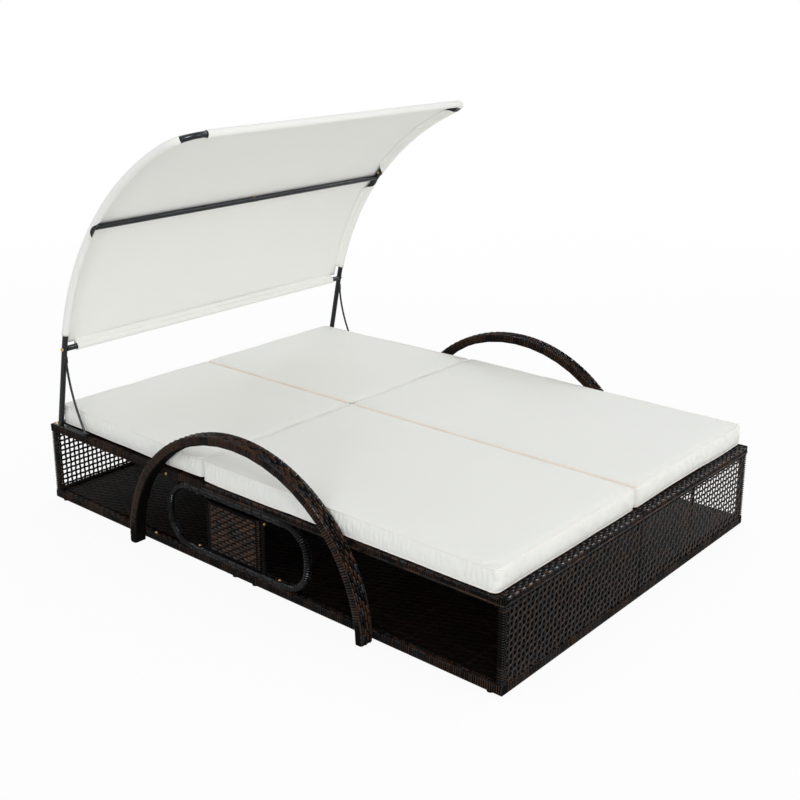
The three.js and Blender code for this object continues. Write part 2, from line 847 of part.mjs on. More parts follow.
// Brace: a bent rod from the post down to the front of the foot plate, with flat tabs
function canopyBrace(side) {
  const x = side.sign * railCentreX;
  const topZ = jointHeight - braceTopDrop - archTubeRadius;
  const halfTab = braceTabThickness / 2;
  const topY = jointY + postSlope * (jointHeight - topZ) - archTubeRadius - fitGap - halfTab;
  const footZ = deckHeight + plateThickness + 2 * fitGap + halfTab;
  const top = new THREE.Vector3(x, topY, topZ);
  const foot = new THREE.Vector3(x, braceFootY, footZ);
  const bulge = new THREE.Vector3(0, 2 * braceBulge, 0);
  const middle = top.clone().add(foot).multiplyScalar(0.5).add(bulge);
  const curve = new THREE.QuadraticBezierCurve3(top, middle, foot);
  const rod = roundSweep(braceRadius, curve.getSpacedPoints(braceSteps), smallSides);
  const half = braceTabWidth / 2;
  const reach = braceTabLength / 2;
  const topTab = box(x - half, x + half, topY - halfTab, topY + halfTab, topZ - reach, topZ + reach);
  const footTab = box(
    x - half,
    x + half,
    braceFootY - reach,
    braceFootY + reach,
    footZ - halfTab,
    footZ + halfTab,
  );
  const plate = box(
    x - plateWidth,
    x + plateWidth,
    braceFootY - braceTabLength,
    braceFootY + braceTabLength,
    deckBottom,
    footZ - halfTab,
  );
  return cut(join(rod, topTab, footTab), postTube(x, archTubeRadius + fitGap), plate);
}

// Canopy cloth: a sheet over the arch with a sleeve round every tube, notched at the joints
function clothProfile() {
  const outline = new THREE.Shape();
  const outer = [];
  const inner = [];
  const frontAngle = Math.acos((frontBarPlace.y - archCentreY) / archReach);
  for (let i = 0; i <= archSteps; i += 1) {
    const angle = jointAngle + ((frontAngle - jointAngle) * i) / archSteps;
    const point = archPoint(0, angle);
    outer.push(point.clone().addScaledVector(archNormal(angle), clothOuter));
    inner.push(point.clone().addScaledVector(archNormal(angle), clothInner));
  }
  outer.forEach((point, i) => {
    if (i === 0) outline.moveTo(point.y, point.z);
    else outline.lineTo(point.y, point.z);
  });
  inner.reverse().forEach((point) => outline.lineTo(point.y, point.z));
  outline.closePath();
  return outline;
}

// The slit under the sleeve where the middle bar enters runs along the inner side of the arch
function midNotchRoute(x) {
  const angles = [midBarHeight - midNotchLength, midBarHeight, midBarHeight + midNotchLength].map(archAngleAt);
  return angles.map((angle) => archPoint(x, angle).addScaledVector(archNormal(angle), -midNotchDepth));
}

function canopyCloth() {
  const sheet = sidePlate(clothProfile(), -railCentreX, railCentreX);
  const frontHem = barAlongX(clothOuter, -frontBarEnd, frontBarEnd, frontBarPlace.y, frontBarPlace.z);
  const lowerHem = barAlongX(clothOuter, -railCentreX, railCentreX, jointY, jointHeight);
  let cloth = join(sheet, frontHem, lowerHem);
  const clearances = [
    barAlongX(clothInner, -halfWidth, halfWidth, frontBarPlace.y, frontBarPlace.z),
    barAlongX(clothInner, -halfWidth, halfWidth, jointY, jointHeight),
    barAlongX(crossBarRadius + clothGap, -railCentreX, railCentreX, midBarY, midBarHeight),
  ];
  for (const side of sides) {
    const x = side.sign * railCentreX;
    const mouth = archPoint(x, sleeveAngle);
    const below = archPoint(x, archAngleAt(jointHeight - archTubeRadius));
    const beyond = elbowStart.clone().setX(x).addScaledVector(archDirection, overrun);
    cloth = join(cloth, roundSweep(clothOuter, [mouth, ...archRoute(x)]));
    clearances.push(roundSweep(clothInner, [below, mouth, ...archRoute(x), beyond]));
    const edge = x + side.sign * clothOuter * 2;
    const hemEdge = x - side.sign * hemInset;
    const tabEdge = x - side.sign * hemTabInset;
    const hemCorner = side.sign * (frontBarEnd - frontNotchInset);
    clearances.push(
      box(edge, hemEdge, jointY - 2 * hemInset, halfLength, 0, jointHeight + clothOuter + clothGap),
      box(edge, tabEdge, jointY - 2 * hemInset, halfLength, 0, sleeveBottom),
      roundSweep(clothOuter, midNotchRoute(x)),
      box(edge, hemCorner, -halfLength, elbowStartY, archCentreZ, baseLength),
    );
  }
  return cut(cloth, ...clearances);
}

// Cushion: a box whose faces crown, whose sides draw in and whose edges are rounded off
function cushion(x0, x1, y0, y1) {
  const columns = 8;
  const rows = 10;
  const layers = 3;
  const width = Math.abs(x1 - x0);
  const length = y1 - y0;
  const geometry = new THREE.BoxGeometry(1, 1, 1, columns, rows, layers);
  const places = geometry.attributes.position;
  for (let i = 0; i < places.count; i += 1) {
    const across = 2 * places.getX(i);
    const along = 2 * places.getY(i);
    const up = 2 * places.getZ(i);
    const fullX = 1 - across ** 2;
    const fullY = 1 - along ** 2;
    const fullZ = 1 - up ** 2;
    const inX = cushionDrawIn * fullY * across ** 2 - cushionBulge * fullZ * (Math.abs(across) === 1 ? 1 : 0);
    const inY = cushionDrawIn * fullX * along ** 2 - cushionBulge * fullZ * (Math.abs(along) === 1 ? 1 : 0);
    const corner = Math.abs(up) === 1 ? cushionEdge : 0;
    const onSide = Math.max(Math.abs(across), Math.abs(along)) === 1;
    const crown = up > 0 ? cushionCrown * Math.sqrt(fullX * fullY) : 0;
    const drop = onSide && Math.abs(up) === 1 ? Math.sign(up) * cushionEdge / 2 : 0;
    const sideX = across * (width / 2) - Math.sign(across) * (inX + (Math.abs(across) === 1 ? corner / 2 : 0));
    const sideY = along * (length / 2) - Math.sign(along) * (inY + (Math.abs(along) === 1 ? corner / 2 : 0));
    places.setXYZ(i, sideX, sideY, up * (cushionHeight / 2) + crown - drop);
  }
  geometry.translate((x0 + x1) / 2, (y0 + y1) / 2, deckTop + fitGap + cushionHeight / 2);
  return toSolid(geometry);
}

function seatCushion(side) {
  const x0 = side.sign * cushionSeam;
  const x1 = side.sign * (halfWidth - cushionOverhang);
  return cushion(x0, x1, -halfLength + seatCushionFoot, seatRear);
}

function backCushion(side) {
  const x0 = side.sign * cushionSeam;
  const x1 = side.sign * (halfWidth - backCushionSide);
  return cushion(x0, x1, backCushionStart, halfLength - backCushionHead);
}

for (const side of sides) {
  for (const end of ends) {
    place(`shelf_frame_${end.name}_${side.name}`, shelfFrame(side, end), rattan);
    place(`end_panel_${end.name}_${side.name}`, endPanel(side, end), rattan);
  }
  place(`seat_frame_${side.name}`, seatFrame(side), rattan);
  place(`rear_frame_${side.name}`, rearFrame(side), rattan);
  place(`backrest_frame_${side.name}`, backrestFrame(side), rattan);
  place(`backrest_hinge_rod_${side.name}`, hingeRod(side), steel);
  place(`backrest_stay_${side.name}`, backrestStay(side), steel);
  place(`stay_pivot_rod_${side.name}`, stayRod(side, stayRodRadius), steel);
  place(`stay_rack_outer_${side.name}`, stayRack(side, stayOuter - stayRadius - rackInset), steel);
  place(`stay_rack_inner_${side.name}`, stayRack(side, stayInner + stayRadius + rackInset), steel);
  place(`side_support_${side.name}`, sideSupport(side), greyRattan);
  place(`side_panel_${side.name}`, sidePanel(side), rattan);
  place(`arm_${side.name}`, arm(side), rattan);
  place(`canopy_post_${side.name}`, canopyPost(side), steel);
  place(`canopy_brace_${side.name}`, canopyBrace(side), steel);
  place(`canopy_arch_${side.name}`, canopyArch(side), steel);
  place(`canopy_elbow_${side.name}`, canopyElbow(side), steel);
  place(`canopy_mid_bar_${side.name}`, midBar(side), steel);
  place(`canopy_joint_bolt_${side.name}`, jointBolt(side), zinc);
  place(`seat_cushion_${side.name}`, seatCushion(side), ivory);
  place(`back_cushion_${side.name}`, backCushion(side), ivory);
}
place("centre_support", centreSupport(), steel);
place("canopy_front_bar", frontBar(), steel);
place("canopy_lower_bar", lowerBar(), steel);
place("canopy_cloth", canopyCloth(), canvas);

export default daybed;
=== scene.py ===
import json
import math
import random

import bmesh
import bpy
import numpy as np
from mathutils import Matrix, Vector, noise


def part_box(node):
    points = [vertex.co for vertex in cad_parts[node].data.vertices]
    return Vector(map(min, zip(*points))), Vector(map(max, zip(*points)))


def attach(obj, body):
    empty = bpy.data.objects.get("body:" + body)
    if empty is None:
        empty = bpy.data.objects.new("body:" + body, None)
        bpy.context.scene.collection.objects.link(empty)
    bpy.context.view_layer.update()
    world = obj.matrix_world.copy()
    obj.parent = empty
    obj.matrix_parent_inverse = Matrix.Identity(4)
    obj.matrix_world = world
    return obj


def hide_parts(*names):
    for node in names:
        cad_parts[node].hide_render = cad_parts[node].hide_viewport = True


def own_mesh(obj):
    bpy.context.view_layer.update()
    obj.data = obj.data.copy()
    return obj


# Looks of the outdoor daybed with canopy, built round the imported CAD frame.
# Metres, +Z up, foot end towards -Y, the canopy over the head end at +Y.

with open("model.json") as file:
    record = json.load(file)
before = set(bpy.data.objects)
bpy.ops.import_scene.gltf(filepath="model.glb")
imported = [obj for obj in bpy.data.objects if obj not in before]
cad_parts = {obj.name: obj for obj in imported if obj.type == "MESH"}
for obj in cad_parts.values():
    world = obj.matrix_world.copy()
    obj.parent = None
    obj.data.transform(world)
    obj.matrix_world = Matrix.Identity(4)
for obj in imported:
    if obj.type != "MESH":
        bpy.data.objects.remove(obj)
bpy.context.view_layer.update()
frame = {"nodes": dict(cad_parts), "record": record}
bodies = frame["record"]["behaviour"]["bodies"]
bodyOfNode = {node: body for body, nodes in bodies.items() for node in nodes}
slotOfNode = {part["node"]: part["material_slot"] for part in frame["record"]["subparts"]}
sides = {"left": -1, "right": 1}
ends = {"foot": -1, "head": 1}
chance = random.Random(7)

camera = {
    "place": (-3.007, -2.617, 1.812),
    "pitch": 16.48,
    "heading": 49.46,
    "lens": 54.77,
    "sensor": 36,
    "shiftY": -0.075,
}
studio = {
    "sky": (0.96, 0.975, 1.0),
    "skyLevel": 0.78,
    "floorColour": (0.72, 0.72, 0.71),
    "floorRoughness": 0.9,
    "floorSize": 60,
    "floorGlow": 0.93,
    "glowStart": 2.5,
    "glowEnd": 6.0,
    "aim": (0, 0, 0.4),
    # Place, size, power and colour of each
    "lamps": {
        "keyLamp": ((-3.8, -4.2, 4.4), 0.8, 46, (1.0, 0.985, 0.95)),
        "fillLamp": ((0.8, -5.2, 2.0), 1.3, 52, (1.0, 0.99, 0.97)),
        "rimLamp": ((3.6, 3.0, 2.4), 1.8, 34, (0.92, 0.95, 1.0)),
        "lowLamp": ((-4.6, -1.2, 1.3), 0.6, 26, (0.95, 0.97, 1.0)),
    },
    # Panels that show as glints on the strands and leave the matt surfaces as they are
    "panels": {
        "topPanel": ((2.6, -1.5, 3.3), 1.7, 250, (0.86, 0.92, 1.0)),
        "sidePanel": ((-2.9, -3.2, 3.9), 1.7, 215, (0.86, 0.92, 1.0)),
    },
}


def pick(sockets, key):
    if isinstance(key, int):
        return sockets[key]
    return next(socket for socket in sockets if socket.name == key and socket.enabled)


# Shader maths as Python expressions
class Wire:
    def __init__(self, nodes, socket):
        self.nodes = nodes
        self.socket = socket

    def maths(self, operation, *values):
        return self.nodes.make("Math", {"operation": operation}, dict(enumerate(values)))

    def __add__(self, other):
        return self.maths("ADD", self, other)

    def __radd__(self, other):
        return self.maths("ADD", other, self)

    def __sub__(self, other):
        return self.maths("SUBTRACT", self, other)

    def __mul__(self, other):
        return self.maths("MULTIPLY", self, other)

    def __rmul__(self, other):
        return self.maths("MULTIPLY", other, self)

    def sine(self):
        return self.maths("SINE", self)

    def size(self):
        return self.maths("ABSOLUTE", self)


class Nodes:
    def __init__(self, tree):
        self.tree = tree

    # A node from its type, its settings and the values or links of its sockets
    def make(self, kind, settings=None, inputs=None, output=0):
        node = self.tree.nodes.new(f"ShaderNode{kind}")
        for key, value in (settings or {}).items():
            if key == "stops":
                self.setStops(node.color_ramp, value)
            else:
                setattr(node, key, value)
        for key, value in (inputs or {}).items():
            self.feed(pick(node.inputs, key), value)
        return Wire(self, pick(node.outputs, output))

    def setStops(self, ramp, stops):
        while len(ramp.elements) > 1:
            ramp.elements.remove(ramp.elements[-1])
        for i, (place, *colour) in enumerate(stops):
            element = ramp.elements[0] if i == 0 else ramp.elements.new(place)
            element.position = place
            element.color = (*colour, 1)

    def feed(self, socket, value):
        if isinstance(value, Wire):
            self.tree.links.new(value.socket, socket)
        else:
            socket.default_value = (*value, 1) if socket.type == "RGBA" else value

    def place(self):
        return self.make("TexCoord", output="Object")

    def axis(self, which):
        return self.make("SeparateXYZ", {}, {0: self.place()}, output=which)

    def cloudiness(self, scale, detail):
        return self.make("TexNoise", {}, {"Vector": self.place(), "Scale": scale, "Detail": detail})

    def ramp(self, factor, stops):
        return self.make("ValToRGB", {"stops": stops}, {0: factor})

    def fade(self, value, start, end, low=0.0):
        limits = {"From Min": start, "From Max": end, "To Min": low}
        return self.make("MapRange", {}, {"Value": value, **limits})

    def blend(self, factor, first, second):
        values = {"Factor": factor, "A": first, "B": second}
        return self.make("Mix", {"data_type": "RGBA"}, values, output="Result")

    def bump(self, height, strength, distance=0.001):
        return self.make(
            "Bump", {}, {"Height": height, "Strength": strength, "Distance": distance}
        )

    # Shader in sight of the camera, also by way of metal or glass, and else the first one
    def inSight(self, first, second, share=1.0):
        seen = self.make("LightPath", output="Is Camera Ray")
        for kind in ("Is Glossy Ray", "Is Transmission Ray"):
            seen = seen.maths("MAXIMUM", seen, self.make("LightPath", output=kind))
        return self.make("MixShader", {}, {0: share * seen, 1: first, 2: second})


socketNames = {
    "colour": "Base Color",
    "roughness": "Roughness",
    "metal": "Metallic",
    "normal": "Normal",
    "sheen": "Sheen Weight",
    "sheenRoughness": "Sheen Roughness",
    "specular": "Specular IOR Level",
}


class Finish(Nodes):
    def __init__(self, name):
        self.material = bpy.data.materials.new(name)
        self.material.use_nodes = True
        super().__init__(self.material.node_tree)
        self.shader = self.tree.nodes["Principled BSDF"]

    def set(self, **values):
        for name, value in values.items():
            self.feed(self.shader.inputs[socketNames[name]], value)
        return self.material


# Place, red, green and blue along each strand's tones; the pale bluish end at 1.0 is partly a grey
# strand tone and partly a painted glint
rattanColours = [
    (0.0, 0.0015, 0.0013, 0.0013),
    (0.30, 0.0045, 0.0032, 0.0026),
    (0.48, 0.038, 0.0178, 0.0096),
    (0.62, 0.048, 0.0225, 0.0120),
    (0.74, 0.0110, 0.0085, 0.0074),
    (0.88, 0.014, 0.0140, 0.0155),
    # pale bluish: painted glint on the strands that reach this tone
    (1.0, 0.036, 0.038, 0.044),
]
greyRattanColours = [
    (0.0, 0.0025, 0.0024, 0.0024),
    (0.6, 0.0070, 0.0070, 0.0074),
    (1.0, 0.022, 0.0225, 0.025),
]
# Darker than the other rattan: partly the shelf's own dark tone, partly painted shade of the bays
# under the deck
shelfToneAndShadeColours = [
    (0.0, 0.003, 0.0022, 0.0017),
    (0.7, 0.007, 0.0042, 0.0028),
    (1.0, 0.019, 0.0095, 0.0055),
]
caneColours = [
    (0.0, 0.0040, 0.0032, 0.0028),
    (0.45, 0.0085, 0.0067, 0.0057),
    (0.62, 0.0250, 0.0146, 0.0091),
    (0.76, 0.0235, 0.0142, 0.0091),
    (0.84, 0.0127, 0.0101, 0.0086),
    (1.0, 0.0100, 0.0102, 0.0113),
]
brownColours = [
    (0.0, 0.005, 0.0038, 0.0032),
    (0.30, 0.018, 0.0100, 0.0064),
    (0.62, 0.052, 0.0250, 0.0140),
    (0.74, 0.044, 0.0230, 0.0140),
    (0.84, 0.017, 0.0125, 0.0100),
    (1.0, 0.022, 0.0200, 0.0190),
]
# Nearly black: painted shade where the core shows between the strands
coreAndGapShadeColours = [(0.0, 0.0006, 0.0005, 0.0005), (1.0, 0.0030, 0.0020, 0.0016)]
steelColours = [
    (0.0, 0.004, 0.005, 0.0065),
    (0.6, 0.007, 0.0085, 0.0115),
    (1.0, 0.012, 0.014, 0.018),
]
zincColours = [(0.2, 0.42, 0.29, 0.10), (0.6, 0.66, 0.49, 0.21), (0.9, 0.55, 0.48, 0.34)]


# Synthetic rattan: each strand has its own tone, with faint streaks
def rattanFinish(name, colours, gloss, specular=0.092):
    finish = Finish(name)
    tone = finish.make("Attribute", {"attribute_name": "tone"}, output="Fac")
    cloud = finish.cloudiness(scale=55, detail=3)
    grain = finish.cloudiness(scale=900, detail=2)
    return finish.set(
        colour=finish.ramp(tone * 0.86 + cloud * 0.22 - 0.04, colours),
        roughness=gloss + 0.12 * cloud,
        specular=specular,
        normal=finish.bump(grain * 0.4 + cloud, 0.3),
    )


# The solids under the strands, nearly black, which paints the shade in the gaps between the
# strands, with the wrap as fine ribs
def coreFinish(name, colours, pitch):
    finish = Finish(name)
    turn = 2 * math.pi / pitch
    across = (finish.axis("X") * turn).sine() + (finish.axis("Y") * turn).sine()
    cloud = finish.cloudiness(scale=40, detail=3)
    return finish.set(
        colour=finish.ramp(cloud * 0.6 + across * 0.1, colours),
        roughness=0.7 + 0.2 * cloud,
        specular=0.04,
        normal=finish.bump(across, 0.5, 0.0012),
    )


def steelFinish(name):
    finish = Finish(name)
    cloud = finish.cloudiness(scale=14, detail=4)
    return finish.set(
        colour=finish.ramp(cloud, steelColours),
        roughness=0.17 + 0.12 * cloud,
        specular=0.32,
        normal=finish.bump(finish.cloudiness(scale=1400, detail=2), 0.12, 0.0004),
    )


def zincFinish(name):
    finish = Finish(name)
    cloud = finish.cloudiness(scale=180, detail=3)
    return finish.set(
        colour=finish.ramp(cloud, zincColours),
        metal=1.0,
        roughness=0.24 + 0.2 * cloud,
        normal=finish.bump(cloud, 0.1, 0.0005),
    )


# Woven polyester: two crossed sets of threads, with slubs and faint soiling
def clothFinish(name, light, dark, pitch, depth):
    finish = Finish(name)
    turn = 2 * math.pi / pitch
    warp, weft, lift = ((finish.axis(which) * turn).sine() for which in "XYZ")
    threads = warp * weft + weft * lift + lift * warp
    cloud = finish.cloudiness(scale=3.5, detail=3)
    slub = finish.cloudiness(scale=260, detail=2)
    return finish.set(
        colour=finish.blend(cloud * 0.6 + slub * 0.25, light, dark),
        roughness=0.86 + 0.08 * cloud,
        sheen=0.12,
        sheenRoughness=0.5,
        specular=0.08,
        normal=finish.bump(threads * 0.25 + slub, depth, 0.0006),
    )


# Painted warm bounce light where the pipings of the two halves meet, pale peach elsewhere, and
# plain where the seat meets the back
def pipingFinish(name):
    finish = Finish(name)
    cloud = finish.cloudiness(scale=30, detail=3)
    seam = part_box("seat_cushion_left")[1].y
    fromSeam = finish.fade((finish.axis("Y") - seam).size(), 0.012, 0.035)
    aside = finish.fade(finish.axis("X").size(), 0.02, 0.04)
    # near the middle seam: painted bounce light between the two pipings; farther out the pale peach
    # is the piping's own colour
    paleWithCentreBounce = finish.blend(aside, (0.86, 0.76, 0.655), (0.855, 0.815, 0.765))
    return finish.set(
        colour=finish.blend(fromSeam * (0.8 + 0.3 * cloud), (0.85, 0.84, 0.80), paleWithCentreBounce),
        roughness=0.8 + 0.1 * cloud,
        specular=0.08,
        normal=finish.bump(finish.cloudiness(scale=900, detail=2), 0.3, 0.0005),
    )


canopyLight, canopyDark = (0.88, 0.875, 0.835), (0.84, 0.835, 0.80)
cushionLight, cushionDark = (0.83, 0.83, 0.785), (0.78, 0.78, 0.735)
finishes = {
    "rattan": rattanFinish("rattanStrand", rattanColours, 0.12),
    "cane": rattanFinish("caneStrand", caneColours, 0.2, 0.054),
    "brownWrap": rattanFinish("brownWrap", brownColours, 0.15),
    # shelf strands darkened: painted shade of the bays
    "shelfStrand": rattanFinish("shelfStrand", shelfToneAndShadeColours, 0.34),
    "greyRattan": rattanFinish("charcoalWrap", greyRattanColours, 0.13, 0.175),
    "core": coreFinish("rattanCore", coreAndGapShadeColours, 0.008),
    "steel": steelFinish("charcoalSteel"),
    "zinc": zincFinish("yellowZinc"),
    "canopy": clothFinish("canopyCloth", canopyLight, canopyDark, 0.0016, 0.1),
    "cushion": clothFinish("cushionCloth", cushionLight, cushionDark, 0.0018, 0.25),
    "piping": pipingFinish("pipingWithPaintedBounce"),
}
finishOfSlot = {
    "rattan": "core",
    "grey_rattan": "core",
    "dark_steel": "steel",
    "zinc": "zinc",
    "canopy_fabric": "canopy",
    "cushion_fabric": "cushion",
}
for node, thing in frame["nodes"].items():
    thing.data.materials.clear()
    thing.data.materials.append(finishes[finishOfSlot[slotOfNode[node]]])
print("finishes made:", len(finishes))


def addObject(name, data):
    thing = bpy.data.objects.new(name, data)
    bpy.context.scene.collection.objects.link(thing)
    return thing


# A piece's finish, its shading, the body it rides on and the nodes that it stands for
def dress(piece, finish, nodes=(), body="base", smooth=40):
    mesh = piece.data
    mesh.materials.clear()
    mesh.materials.append(finishes[finish])
    mesh.shade_smooth()
    if smooth:
        mesh.set_sharp_from_angle(angle=math.radians(smooth))
    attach(piece, body)
    if nodes:
        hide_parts(*nodes)
    return piece


def addPiece(name, mesh, finish, nodes=(), body="base", smooth=40):
    mesh.name = name
    return dress(addObject(name, mesh), finish, nodes, body, smooth)


def evaluatedMesh(thing):
    bpy.context.view_layer.update()
    return bpy.data.meshes.new_from_object(
        thing.evaluated_get(bpy.context.evaluated_depsgraph_get())
    )


def toMesh(shape):
    mesh = bpy.data.meshes.new("shape")
    bmesh.ops.recalc_face_normals(shape, faces=shape.faces[:])
    shape.to_mesh(mesh)
    shape.free()
    return mesh


def joined(meshes):
    shape = bmesh.new()
    for mesh in meshes:
        shape.from_mesh(mesh)
    return toMesh(shape)


def edgeSpan(edge, axis):
    return abs(edge.verts[0].co[axis] - edge.verts[1].co[axis])


def edgesAlong(shape, axis, least):
    return [edge for edge in shape.edges if edgeSpan(edge, axis) > least]


def bevelEdges(shape, edges, offset, segments=1):
    values = {"segments": segments, "profile": 0.5, "affect": "EDGES", "material": -1}
    bmesh.ops.bevel(shape, geom=edges, offset=offset, **values)


def cubeShape(low, high):
    shape = bmesh.new()
    bmesh.ops.create_cube(shape, size=1)
    bmesh.ops.scale(shape, vec=high - low, verts=shape.verts)
    bmesh.ops.translate(shape, vec=(low + high) / 2, verts=shape.verts)
    return shape


def bevelledBox(low, high, bevel, segments=2):
    shape = cubeShape(Vector(low), Vector(high))
    bevelEdges(shape, shape.edges[:], bevel, segments)
    return toMesh(shape)


# One turn of wrap round a bar of that width and height
def wrapTurn(width, height, length, bevel, segments=1):
    reach = Vector((width, length, height)) / 2
    return bevelledBox(-reach, reach, bevel, segments)


def layDown(shape):
    turn = Matrix.Rotation(math.pi / 2, 3, "X")
    bmesh.ops.rotate(shape, cent=(0, 0, 0), matrix=turn, verts=shape.verts)


def roundTurn(radius, length, bevel, corners):
    shape = bmesh.new()
    size = {"segments": corners, "radius1": radius, "radius2": radius, "depth": length}
    bmesh.ops.create_cone(shape, cap_ends=True, **size)
    bevelEdges(shape, [edge for edge in shape.edges if edgeSpan(edge, 2) < length / 4], bevel)
    layDown(shape)
    return toMesh(shape)


# A long low bump, as one visible stretch of a strand that weaves over its neighbours
def strandBump(width, length, height):
    shape = bmesh.new()
    bmesh.ops.create_uvsphere(shape, u_segments=8, v_segments=6, radius=0.5)
    layDown(shape)
    bmesh.ops.scale(shape, vec=(width, length, 2 * height), verts=shape.verts)
    return toMesh(shape)


# A flat strand that rises over and dips under the strands that it crosses
def waveStrand(crossings, pitch, width, thickness, lift, phase, steps):
    reach = Vector((crossings * pitch, width, thickness)) / 2
    shape = cubeShape(-reach, reach)
    bevelEdges(shape, edgesAlong(shape, 0, pitch / 2), thickness * 0.42)
    long = edgesAlong(shape, 0, pitch / 2)
    bmesh.ops.subdivide_edges(shape, edges=long, cuts=crossings * steps - 1, use_grid_fill=False)
    for vert in shape.verts:
        along = vert.co.x / pitch + crossings / 2
        vert.co.z += lift * math.cos(math.pi * (along - 0.5) + phase)
    return toMesh(shape)


# The same strand as an open ribbon, for work that lies on a solid deck
def waveRibbon(crossings, pitch, width, crown, lift, phase):
    shape = bmesh.new()
    bmesh.ops.create_grid(shape, x_segments=crossings * 2, y_segments=2, size=0.5)
    bmesh.ops.scale(shape, vec=(crossings * pitch, width, 1), verts=shape.verts)
    for vert in shape.verts:
        along = vert.co.x / pitch + crossings / 2
        fall = 0.5 - 0.5 * math.cos(math.pi * (along - 0.5) + phase)
        vert.co.z += lift * (1 - 2 * fall)
        vert.co.z += crown * (1 - (2 * vert.co.y / width) ** 2) * (1 - 0.7 * fall)
    return toMesh(shape)


# A smooth round tube along points, a ring or else closed at its ends
def tubeMesh(points, radius, rounds=6, ring=False):
    curve = bpy.data.curves.new("tube", "CURVE")
    curve.dimensions = "3D"
    curve.bevel_depth = radius
    curve.bevel_resolution = rounds
    curve.use_fill_caps = not ring
    spline = curve.splines.new("POLY")
    spline.points.add(len(points) - 1)
    spline.use_cyclic_u = ring
    for spot, point in zip(spline.points, points):
        spot.co = (*point, 1)
    holder = addObject("tube", curve)
    mesh = evaluatedMesh(holder)
    bpy.data.objects.remove(holder)
    bpy.data.curves.remove(curve)
    return mesh


# A place whose Y runs along, with Z as near to up as can be
def placeAt(origin, along, up=(0, 0, 1)):
    forward = Vector(along).normalized()
    side = forward.cross(Vector(up)).normalized()
    turn = Matrix((side, forward, side.cross(forward))).transposed().to_4x4()
    return Matrix.Translation(Vector(origin)) @ turn


# Many small copies gathered in one mesh, each with its own tone
class Pile:
    def __init__(self):
        self.shape = bmesh.new()
        self.tones = []

    def add(self, template, place, tone=None, drift=0.0):
        copy = template.copy()
        copy.transform(place)
        self.shape.from_mesh(copy)
        tone = chance.random() if tone is None else tone
        if drift:
            seed = Vector((0, 0, 40 * chance.random()))
            spots = (vert.co * 24 + seed for vert in copy.vertices)
            self.tones += [tone + drift * noise.noise(spot) for spot in spots]
        else:
            self.tones.extend([tone] * len(copy.vertices))
        bpy.data.meshes.remove(copy)

    def mesh(self):
        mesh = bpy.data.meshes.new("pile")
        self.shape.to_mesh(mesh)
        self.shape.free()
        tone = mesh.attributes.new("tone", "FLOAT", "POINT")
        tone.data.foreach_set("value", np.array(self.tones, dtype=np.float32))
        return mesh


rails = {
    "size": 0.024,
    "proud": 0.0012,
    "pitch": 0.0076,
    "rearPitch": 0.0085,
    "fill": 0.68,
    "bevel": 0.0022,
    "lean": 5,
    "rearLean": 6,
    "panelLean": 4,
    "wobble": 1.5,
    "block": 7,
    "toneSpread": 0.22,
    "chainPitch": 0.031,
    "chainWidth": 0.0088,
    "chainLength": 0.029,
    "chainHeight": 0.0030,
    "flatHeight": 0.0021,
    "seatSink": 0.0015,
    "shelfSink": 0.0008,
    "cornerGap": 0.004,
    "topRows": (0.004, 0.0125, 0.021),
    "footRows": (0.029, 0.037, 0.045),
    "footTones": (0.35, 0.65),
    "sideRow": 0.0045,
    "sideStrand": 0.0215,
    "strandWidth": 0.0052,
    "strandThickness": 0.0022,
    "strandPiece": 0.055,
}


# Tones that stay alike over a block of neighbours, as where one strand wraps a stretch of rail
def blockTones(count, block=rails["block"]):
    tones = []
    for i in range(count):
        if i % block == 0:
            shared = chance.random()
        tone = shared + chance.uniform(-rails["toneSpread"], rails["toneSpread"])
        tones.append(min(1.0, max(0.0, tone)))
    return tones


def wobbled(lean):
    lean += chance.uniform(-rails["wobble"], rails["wobble"])
    return Matrix.Rotation(math.radians(lean), 4, "Z")


# Turns of wrap along a straight bar
def wrapRun(pile, turn, start, end, up=(0, 0, 1), lean=0.0, pitch=rails["pitch"]):
    start, end = Vector(start), Vector(end)
    run = end - start
    count = max(1, round(run.length / pitch))
    for i, tone in enumerate(blockTones(count)):
        middle = start + run * ((i + 0.5) / count)
        pile.add(turn, placeAt(middle, run, up) @ wobbled(lean), tone)


# A row of bumps in line
def chainRun(
    pile, bump, start, end, up=(0, 0, 1), shift=0.0, pitch=rails["chainPitch"], tones=(0.15, 1.0)
):
    start, end = Vector(start), Vector(end)
    run = end - start
    for i in range(int(run.length / pitch - shift)):
        middle = start + run.normalized() * ((i + 0.5 + shift) * pitch)
        pile.add(bump, placeAt(middle, run, up), chance.uniform(*tones))


# A flat strand laid lengthwise, in stretches of changing tone
def layStrand(pile, start, end, up):
    start, end = Vector(start), Vector(end)
    run = end - start
    count = max(1, round(run.length / rails["strandPiece"]))
    thickness = rails["strandThickness"]
    strand = wrapTurn(rails["strandWidth"], thickness, run.length / count, thickness * 0.4)
    for i in range(count):
        pile.add(strand, placeAt(start + run * ((i + 0.5) / count), run, up))


